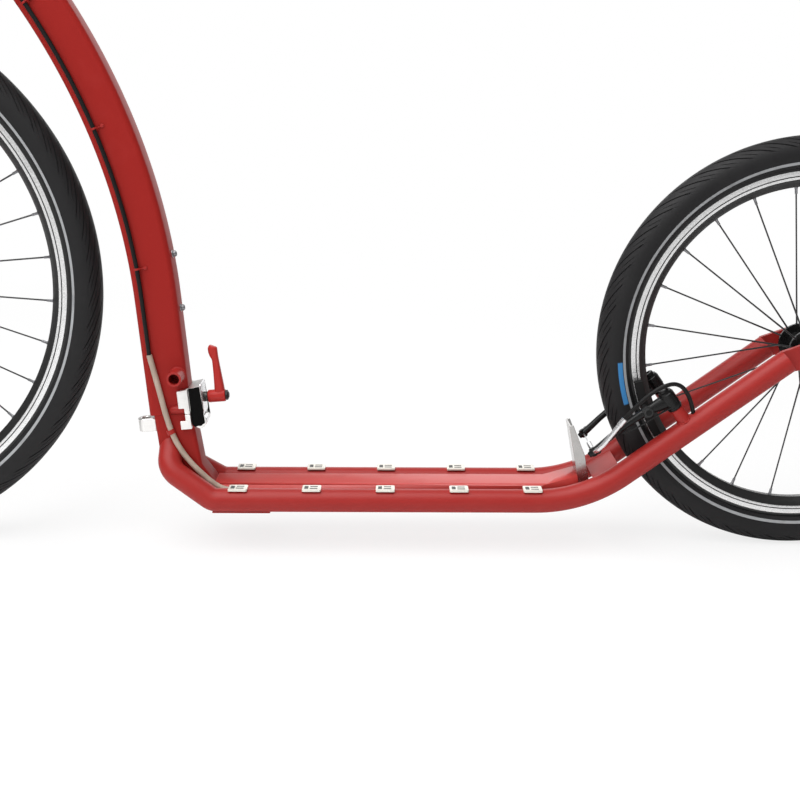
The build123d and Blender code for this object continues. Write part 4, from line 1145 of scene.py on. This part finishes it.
        # Each row is the height, the step forward, and half the depth and width
        rows = mm([(0, 0, 5.8, 6.4), (10, 0, 5.4, 5.8), (22, 0.2, 4.8, 5), (36, 0.6, 4.2, 4.2), (44.5, 0.9, 4, 3.9),
                   (48, 2, 4.1, 5), (53, 2.8, 4.1, 5.6), (58.5, 2.6, 3.8, 5.4), (59.2, 2.2, 2.6, 3.4)])
        place = at.tube(-self.lever_back, 0, self.stud_up)
        path = place + rows[:, :1] * self.handle_share * at.lean_up + rows[:, 1:2] * at.lean_fore
        handle = carry(*swelling(np.hstack([path, rows[:, 2:]]), 8, 0.7), at.lean_fore)
        parts = [turned(hub, at.tube(0, 0, self.stud_up), -at.lean_fore, 36), handle]
        redo("clamp_lever", "moulded", LEVER_RED, Body.FRONT, stack(parts))

    def head_tube(self) -> None:
        """Head tube turned about the steering axis, with a thicker ring at each end."""
        low, high = (1000 * up for up in self.head_span)
        thin = 1000 * self.head_r
        thick = thin + 1.2
        profile = [(low, thin - 1), (low + 1, thick), (low + 10, thick), (low + 12, thin),
                   (high - 12, thin), (high - 10, thick), (high - 1, thick), (high, thin - 1)]
        patch = turned(profile, self.at.head_foot, self.at.head_up, 48)
        redo("head_tube", "turned", RED, Body.FRONT, patch, 30)

    def bottle_bolts(self) -> None:
        """Bottle bosses: a low collar on the tube's back and a round bolt head with a recess."""
        at = self.at
        profile = [(-0.4, 4.6), (0.6, 4.6), (1.2, 4.2), (1.4, 3.6), (3, 3.8), (4.4, 3.2), (5, 2.2), (5, 1.4),
                   (3.4, 1.2)]
        made = []
        for up in self.boss_ups:
            turn = max(0.0, (up - at.straight_up) / at.arc_r)
            place = at.arc(-self.depth / 2, 0, turn) if turn else at.tube(-self.depth / 2, 0, up)
            made.append(turned(profile, place, slope(at.lean + turn)[0], 24))
        Piece("bottle_bolts", NICKEL, Body.FRONT, ("bottle_bosses",)).place(stack(made))

    def welds(self) -> None:
        """Weld beads round the socket's foot and where the main tube meets the head tube."""
        at, ring = self.at, circle(self.socket_r, 40)
        foot = at.tube(self.socket[0], self.width / 2 + 0.0002, self.socket[1])
        loop = foot + ring[:, :1] * at.lean_fore + ring[:, 1:] * at.lean_up
        beads = [bead(loop, 0.0011, 26), bead(self.head_ring, 0.0018, 60)]
        Piece("frame_welds", RED, Body.FRONT).place(stack(beads))


@dataclass
class Brake:
    """One rim brake: arms on bosses, shoes, a bent lead pipe and its wire."""

    name: str
    body: Body
    origin: Array
    along: Array
    away: Array
    lead_step: tuple[float, float]
    post: float
    pad: float
    tube: tuple[float, float]
    wire: float = 0.10675
    spread: float = 0.042
    tip: float = 0.040
    lead_side: float = 0.052
    lead_r: float = 0.0029
    boss_r: float = 0.0082
    screw_at: float = 0.1070
    cap_at: float = 0.1015

    def __post_init__(self) -> None:
        """Works out the sideways direction."""
        self.beside = np.cross(self.away, self.along)

    def place(self, x: Any, y: Any, z: Any) -> Array:
        """Point along the arms, sideways and away from the frame; columns of numbers give rows of points."""
        return self.origin + self.along * x + self.beside * y + self.away * z

    def lead(self) -> tuple[Array, Array]:
        """End of the bent lead pipe and the way its cable leaves it.

        Returns:
            The point and the direction.
        """
        corner = self.place(self.wire, self.lead_side, 0)
        end = self.place(self.wire + self.lead_step[0], self.lead_side + 0.005, self.lead_step[1])
        return end, unit(end - corner)

    def build(self) -> None:
        """Builds and dresses the brake's pieces."""
        for side, sign in self.sides:
            redo(f"{side}_{self.name}_brake_arm", "forged", BLACK_GLOSS, self.body, stack(self.arm_parts(sign)))
        self.bosses()
        self.shoes()
        self.lead_pipe()

    @property
    def sides(self) -> tuple[tuple[str, int], tuple[str, int]]:
        """The two sides of the bike, with the sign of the arm's sideways place."""
        first = 1 if self.beside[1] > 0 else -1
        return ("left", first), ("right", -first)

    def arm_parts(self, sign: int) -> list[Patch]:
        """One arm: a slim bowed shank, a turned pivot barrel with its bolt, a spring wire and an end screw.

        Args:
            sign: Sign of the arm's sideways place.

        Returns:
            The arm's patches.
        """
        # Each row is the place along the arm, sideways and away, then half the width and height
        rows = mm([(-2, 42, 0, 6.6, 9.5), (10, 42, 1, 6.8, 9), (24, 42.5, 4.5, 5.8, 5.6), (45, 42.5, 5.5, 4.4, 4.4),
                   (75, 41.2, 4.5, 3.8, 3.6), (96, 40.5, 1.2, 4.2, 4), (110, 40, -0.4, 4.4, 4.4),
                   (113.5, 40, -0.6, 3, 3)])
        path = self.place(rows[:, :1], sign * rows[:, 1:2], rows[:, 2:3])
        shank = carry(*swelling(np.hstack([path, rows[:, 3:]]), 7), self.away)
        barrel = [(-12.1, 6), (-11.6, 8.8), (-9, 9.2), (-8.6, 8.6), (-5, 8.6), (-4.6, 9.2), (9, 9.2), (9.6, 8.4),
                  (11.8, 8), (12.2, 6.2), (12.6, 6.2), (15.2, 6), (16, 5.2), (16, 3.4), (14, 3)]
        screw = [(-5.2, 3), (-4.8, 3.8), (4.8, 3.8), (5.2, 3)]
        cap = [(4, 3), (4.6, 3.6), (8, 3.6), (8.6, 2.8)]
        lead = mm([(1, 48.5, -7), (20, 50, -4), (52, 49, -3.5), (66, 46.2, 0.5)])
        spring = flow(self.place(lead[:, :1], sign * lead[:, 1:2], lead[:, 2:]), 8)
        return [shank, turned(barrel, self.place(0, sign * self.spread, 0), self.away, 28),
                turned(screw, self.place(self.screw_at, sign * self.tip, 0), self.away, 6),
                turned(cap, self.place(self.cap_at, sign * self.tip, 0), self.beside * sign, 16),
                carry(spring, circle(0.0011, 8), self.away)]

    def bosses(self) -> None:
        """Round bosses on the frame, with a bead where each is welded on."""
        profile = [(-1000 * self.post, 8), (-13.5, 8), (-12.8, 7.6), (-12.4, 5)]
        made = [turned(profile, self.place(0, sign * self.spread, 0), self.away, 28) for _, sign in self.sides]
        ring = circle(self.boss_r, 36)
        x, y = ring[:, :1], ring[:, 1:]
        height = self.tube[1] - np.sqrt(self.tube[0] ** 2 - y ** 2)
        for _, sign in self.sides:
            made.append(bead(self.place(x, sign * self.spread + y, -height), 0.0012, 18))
        redo(f"{self.name}_brake_bosses", "turned", RED, self.body, stack(made))

    def shoes(self) -> None:
        """Softened shoes, each with a round washer and a nut outside its arm."""
        node = f"{self.name}_brake_shoes"
        keep(node, SHOE, self.body, 0.0008)
        profile = [(43.5, 4), (43.7, 7), (45.2, 7.4), (47, 7), (47.4, 5.4), (50, 5), (50.4, 4.4), (50.4, 2.6),
                   (49, 2.2)]
        made = [turned(profile, self.place(self.pad, 0, 0.004), self.beside * sign, 24) for _, sign in self.sides]
        Piece(f"{node}_nuts", BLACK, self.body).place(stack(made))

    def lead_pipe(self) -> None:
        """Bent lead pipe with a collar at its end, and the wire between the arms."""
        end, way = self.lead()
        path = bent([self.place(self.wire, 0.004, 0), self.place(self.wire, self.lead_side, 0), end], (0.018,), 16)
        pipe = carry(path, circle(self.lead_r, 16), self.away)
        collar = turned([(-10, 2.9), (-9.6, 3.4), (-0.6, 3.4), (0, 2.8)], end, way, 18)
        run = np.array([self.place(self.wire, y, 0) for y in (0.006, -self.tip)])
        pull = carry(run, circle(0.0008, 8), self.away)
        redo(f"{self.name}_brake_lead", "pipe", STEEL, self.body, stack([pipe, collar, pull]))


@dataclass
class Steering:
    """Fork, stem, bar, grips and brake levers."""

    at: Layout
    bar_r: float = 0.0111
    grip_r: float = 0.016
    grip_l: float = 0.128
    lever_dip: float = radians(19.3)
    lever_in: float = 0.155
    lever_out: float = 0.028

    def ends(self) -> dict[str, list[Array]]:
        """The bar's corner, inner and tip points on each side.

        Returns:
            Three points by the side's name.
        """
        base = self.at.fork(0.062, 0, 0.641)
        half = np.array([(0, 0.040, 0), (0, 0.090, 0.040), (-0.022, 0.295, 0.046)])
        return {"left": list(base + half), "right": list(base + half * (1, -1, 1))}

    def build(self) -> None:
        """Builds and dresses the steering's pieces."""
        for node, finish, bevel in (("fork_crown", RED, 0.0015), ("left_fork_leg", RED, 0.0006),
                                    ("right_fork_leg", RED, 0.0006), ("stem", BLACK, 0.001),
                                    ("brake_levers", BLACK_GLOSS, 0.001)):
            keep(node, finish, Body.STEER, bevel)
        ends = self.ends()
        path = bent([*reversed(ends["left"]), *ends["right"]], (0.040, 0.030, 0.030, 0.040), 12)
        patch = carry(path, circle(self.bar_r, 28), (1, 0, 0.2))
        redo("handlebar", "bent", BLACK_GLOSS, Body.STEER, patch)
        self.grips(ends)

    def grips(self, ends: dict[str, list[Array]]) -> None:
        """Grips turned about the bar's ends, with a collar at each end and a waist between.

        Args:
            ends: The bar's points on each side.
        """
        length, share = 1000 * self.grip_l, np.linspace(0, 1, 40)
        waist = 1000 * self.grip_r - 1.4 + np.cos(2 * pi * share)
        body = np.stack([-length * (1 - share) + 2 * share, waist], -1).tolist()
        profile = [(-length, 11.4), (-length, 15.5), *body, (2.4, 15.8), (3.6, 14.8), (4, 12)]
        made = [turned(profile, tip, tip - inner, 36) for _, inner, tip in ends.values()]
        redo("grips", "ribbed", GRIP, Body.STEER, stack(made))

    def mouth(self, side: str) -> tuple[Array, Array]:
        """Where a cable enters a lever, and the way outward along the bar.

        Args:
            side: Left or right.

        Returns:
            The point and the direction.
        """
        _, inner, tip = self.ends()[side]
        way = unit(tip - inner)
        return tip - way * self.lever_in - slope(self.lever_dip)[0] * self.lever_out, way


@dataclass
class Cables:
    """Brake cables with their sleeve and clips."""

    at: Layout
    housing_r: float = 0.0025
    sleeve_r: float = 0.0034
    fore: float = 0.0145
    side: float = 0.0216
    turn: float = radians(30)
    sleeve_up: float = 0.075
    inside: float = 0.004
    stiff: float = 0.045
    clip_turns: tuple[float, ...] = (radians(3), radians(16), radians(28))

    def build(self) -> None:
        """Builds and dresses the cables."""
        at = self.at
        start = at.tube(self.fore, self.side, self.sleeve_up)
        run = np.vstack([start, at.tube(self.fore, self.side, at.straight_up),
                         at.arc(self.fore, self.side, np.linspace(0.02, self.turn, 24))])
        self.line("rear_cable_upper", run, Body.FRONT)
        join = np.array((0.178, 0.024, -0.010))
        sleeve = flow([start, (0.2680, 0.0220, 0.118), (0.2590, 0.0226, 0.076), (0.2490, 0.0236, 0.048),
                       (0.2330, 0.0250, 0.0245), (0.2060, 0.0244, -0.003), (0.190, 0.024, -0.010), join], 14)
        patch = carry(sleeve, circle(self.sleeve_r, 16), (0, 1, 0))
        made = redo("rear_cable_sleeve", "milky", SLEEVE, None, patch)
        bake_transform(made)
        run = flow([join, (-0.150, 0.024, -0.010), (-0.212, 0.024, -0.010), (-0.240, 0.036, -0.006)])
        self.line("rear_cable_deck", run, Body.REAR)
        keep("lower_cable_clip", RED, Body.REAR, 0.0003, "bent")
        self.clips()

    def clips(self) -> None:
        """Cable clips on the main tube: a ring round the cable, a flat strap and a round rivet."""
        at, r, made = self.at, self.housing_r, []
        dome = [(-0.4, 2.2), (0.6, 2.4), (1.4, 1.8), (1.7, 0.8)]
        ring = [(place, 1000 * r + extra) for place, extra in ((-1.2, 0), (-1, 0.9), (1, 0.9), (1.2, 0))]
        strap = ((0.0005, self.side + r + 0.0003), (0.0035, self.side + r), (0.0045, 0.0188), (0.0100, 0.0184))
        for turn in self.clip_turns:
            way = slope(at.lean + turn)[1]
            path = flow([at.arc(self.fore - back, side, turn) for back, side in strap], 6)
            made += [turned(ring, at.arc(self.fore, self.side, turn), way, 20),
                     carry(path, rounded_box(0.0022, 0.0010, 0.0003, 3), way),
                     turned(dome, at.arc(self.fore - 0.0095, 0.0184, turn), (0, 1, 0), 16)]
        redo("upper_cable_clips", "bent", RED, Body.FRONT, stack(made))

    def loops(self, rear: Brake, front: Brake, steering: Steering) -> None:
        """Cables from the levers to the brakes' lead pipes; one bends across the steering.

        Args:
            rear: Rear brake.
            front: Front brake.
            steering: Bar and levers.
        """
        at, forward = self.at, (1, 0, 0.2)
        tip, way = rear.lead()
        loop = [tip - way * self.inside, tip + way * 0.042, at.stay(0.046, 0.050, 0.053), at.stay(0.025, 0.042, 0.007)]
        self.line("rear_cable_loop", flow(loop, 20), Body.REAR)
        place, along = steering.mouth("left")
        tip, way = front.lead()
        route = [tip - way * self.inside, tip + way * 0.060, (0.540, -0.040, 0.760),
                 place - along * self.stiff + (0.030, 0, -0.010), place]
        self.line("front_cable", flow(route, 20), Body.STEER, forward)
        place, along = steering.mouth("right")
        end = at.arc(self.fore, self.side, self.turn)
        route = [end, end + slope(at.lean + self.turn)[1] * self.stiff, (0.500, 0.046, 0.690), (0.528, 0.020, 0.790),
                 place - along * self.stiff + (0.022, 0, -0.010), place]
        path = flow(route, 20)
        made = self.line("rear_cable_steer", path, None, forward)
        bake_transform(made)

    def line(self, node: str, path: Array, body: Body | None, up: Sequence[float] = (0, 1, 0)) -> Thing:
        """Round cable: a circle carried along a line."""
        return redo(node, "run", HOUSING, body, carry(path, circle(self.housing_r, 14), up))


@dataclass
class Studio:
    """Floor, light and camera of the photograph."""

    ground: float = -0.080
    place: tuple[float, float, float] = (-0.0171, 1.3613, 0.4481)
    pitch: float = 0.2526
    roll: float = 0.0037
    lens: float = 52.677
    sensor: float = 36.0
    fill: float = 0.27
    mirror: float = 0.18
    near: tuple[float, float] = (0.9, 2.4)
    near_white: float = 0.8
    # Each lamp has a name, a place, a point that it is aimed at, a size and a power
    lamps: tuple[tuple[Any, ...], ...] = (
        ("top_light", (0.9, 0.7, 2.6), (0.0, 0.0, 0.1), 3.0, 122.0),
        ("side_light", (0.6, 3.0, 1.5), (0.0, 0.0, 0.2), 2.2, 8.0),
        ("back_light", (-0.2, -2.7, 1.0), (0.0, 0.0, 0.1), 2.0, 15.0))

    def build(self) -> None:
        """Sets up the whole studio."""
        bpy.context.scene.view_settings.view_transform = "Standard"
        self.world()
        self.floor()
        self.camera()
        for row in self.lamps:
            self.lamp(*row)

    def world(self) -> None:
        """Even pale light all round, white where a camera, mirror or glass sees it."""
        world = bpy.data.worlds.new("studio")
        world.use_nodes = True
        bench = Bench(world.node_tree)
        rays = bench.add("LightPath").outputs
        clear = bench.math("MAXIMUM", rays["Is Camera Ray"], rays["Is Transmission Ray"])
        seen = bench.math("MAXIMUM", clear, bench.math("MULTIPLY", rays["Is Glossy Ray"], self.mirror))
        ground = world.node_tree.nodes["Background"]
        ground.inputs["Color"].default_value = (1, 1, 1, 1)
        world.node_tree.links.new(bench.spread(seen, self.fill, 1.0), ground.inputs["Strength"])
        bpy.context.scene.world = world

    def floor(self) -> None:
        """Pale floor under the wheels: a flat grid of points."""
        x, y = np.meshgrid(np.linspace(-6, 6, 3), np.linspace(-9, 6, 3), indexing="ij")
        points = np.stack([x, y, np.full_like(x, self.ground)], -1)
        mesh = bpy.data.meshes.new("floor")
        patch = sheet(points)
        mesh.from_pydata(patch.points.tolist(), [], patch.quads.tolist())
        finish = Finish("pale_floor", "", grey(0.93), grey(0.925), (0.7, 0.8), scale=4.0, relief=0.0)
        material = finish.material()
        self.brighten(material)
        mesh.materials.append(material)
        linked("floor", mesh)

    def brighten(self, material: bpy.types.Material) -> None:
        """Turns the floor white for the camera, wholly far out and mostly near the bike, where its shadow stays.

        Args:
            material: The floor's material.
        """
        bench = Bench(material.node_tree)
        place = bench.add("TexCoord").outputs["Object"]
        far = bench.add("VectorMath", {0: place}, operation="LENGTH").outputs["Value"]
        start, end = self.near
        span = {"Value": far, "From Min": start, "From Max": end, "To Min": self.near_white, "To Max": 1.0}
        share = bench.add("MapRange", span).outputs[0]
        seen = bench.math("MULTIPLY", share, bench.add("LightPath").outputs["Is Camera Ray"])
        glow = bench.add("Emission", {"Color": (1, 1, 1, 1), "Strength": 1.0}).outputs[0]
        body = material.node_tree.nodes["Principled BSDF"].outputs[0]
        both = bench.add("MixShader", {0: seen, 1: body, 2: glow}).outputs[0]
        material.node_tree.links.new(both, material.node_tree.nodes["Material Output"].inputs["Surface"])

    def lamp(self, name: str, place: Sequence[float], aim: Sequence[float], size: float, power: float) -> None:
        """Large soft lamp aimed at a point.

        Args:
            name: Name of the lamp.
            place: Its middle.
            aim: Point that it faces.
            size: Its width.
            power: Watts.
        """
        light = bpy.data.lights.new(name, "AREA")
        light.size, light.energy = size, power
        turn = (Vector(place) - Vector(aim)).to_track_quat("Z", "Y").to_matrix().to_4x4()
        linked(name, light).matrix_world = Matrix.Translation(place) @ turn

    def camera(self) -> None:
        """Camera at the photograph's place, with its pitch and roll."""
        data = bpy.data.cameras.new("photo_camera")
        data.lens, data.sensor_width, data.sensor_fit = self.lens, self.sensor, "HORIZONTAL"
        c, s = cos(self.pitch), sin(self.pitch)
        turn = Matrix(((-1, 0, 0), (0, -s, c), (0, c, s))).to_4x4()
        made = linked("photo_camera", data)
        made.matrix_world = Matrix.Translation(self.place) @ turn @ Matrix.Rotation(self.roll, 4, "Z")
        bpy.context.scene.camera = made


def main() -> None:
    """Builds the bike's pieces in order and the studio round them."""
    logging.basicConfig(level=logging.INFO, format="%(message)s")
    at = Layout()
    Studio().build()
    Wheel("rear", at.rear_axle, radius=0.245, spokes=24, flange=0.020, old=0.080, body=Body.REAR_WHEEL,
          holder=Body.REAR, pitches=57, patch=(0.9506, 0.9875, 0.846, 0.906)).build()
    Wheel("front", at.front_axle, radius=0.3215, spokes=32, flange=0.032, old=0.100, body=Body.FRONT_WHEEL,
          holder=Body.STEER, pitches=75).build()
    Deck(at).build()
    Fold(at).build()
    rear = Brake("rear", Body.REAR, at.stay(0.0146, 0, 0.0428), -at.stay_dir, at.stay_up, lead_step=(-0.052, 0.017),
                 post=0.032, pad=0.0284, tube=(0.014, 0.0428))
    front = Brake("front", Body.STEER, at.fork(0.030, 0, 0.2385), at.head_up, at.head_fore, lead_step=(0.025, 0.030),
                  post=0.024, pad=0.0381, tube=(0.011, 0.030))
    steering = Steering(at)
    for part in (rear, front, steering):
        part.build()
    cables = Cables(at)
    cables.build()
    cables.loops(rear, front, steering)
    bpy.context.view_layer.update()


if __name__ == "__main__":
    main()
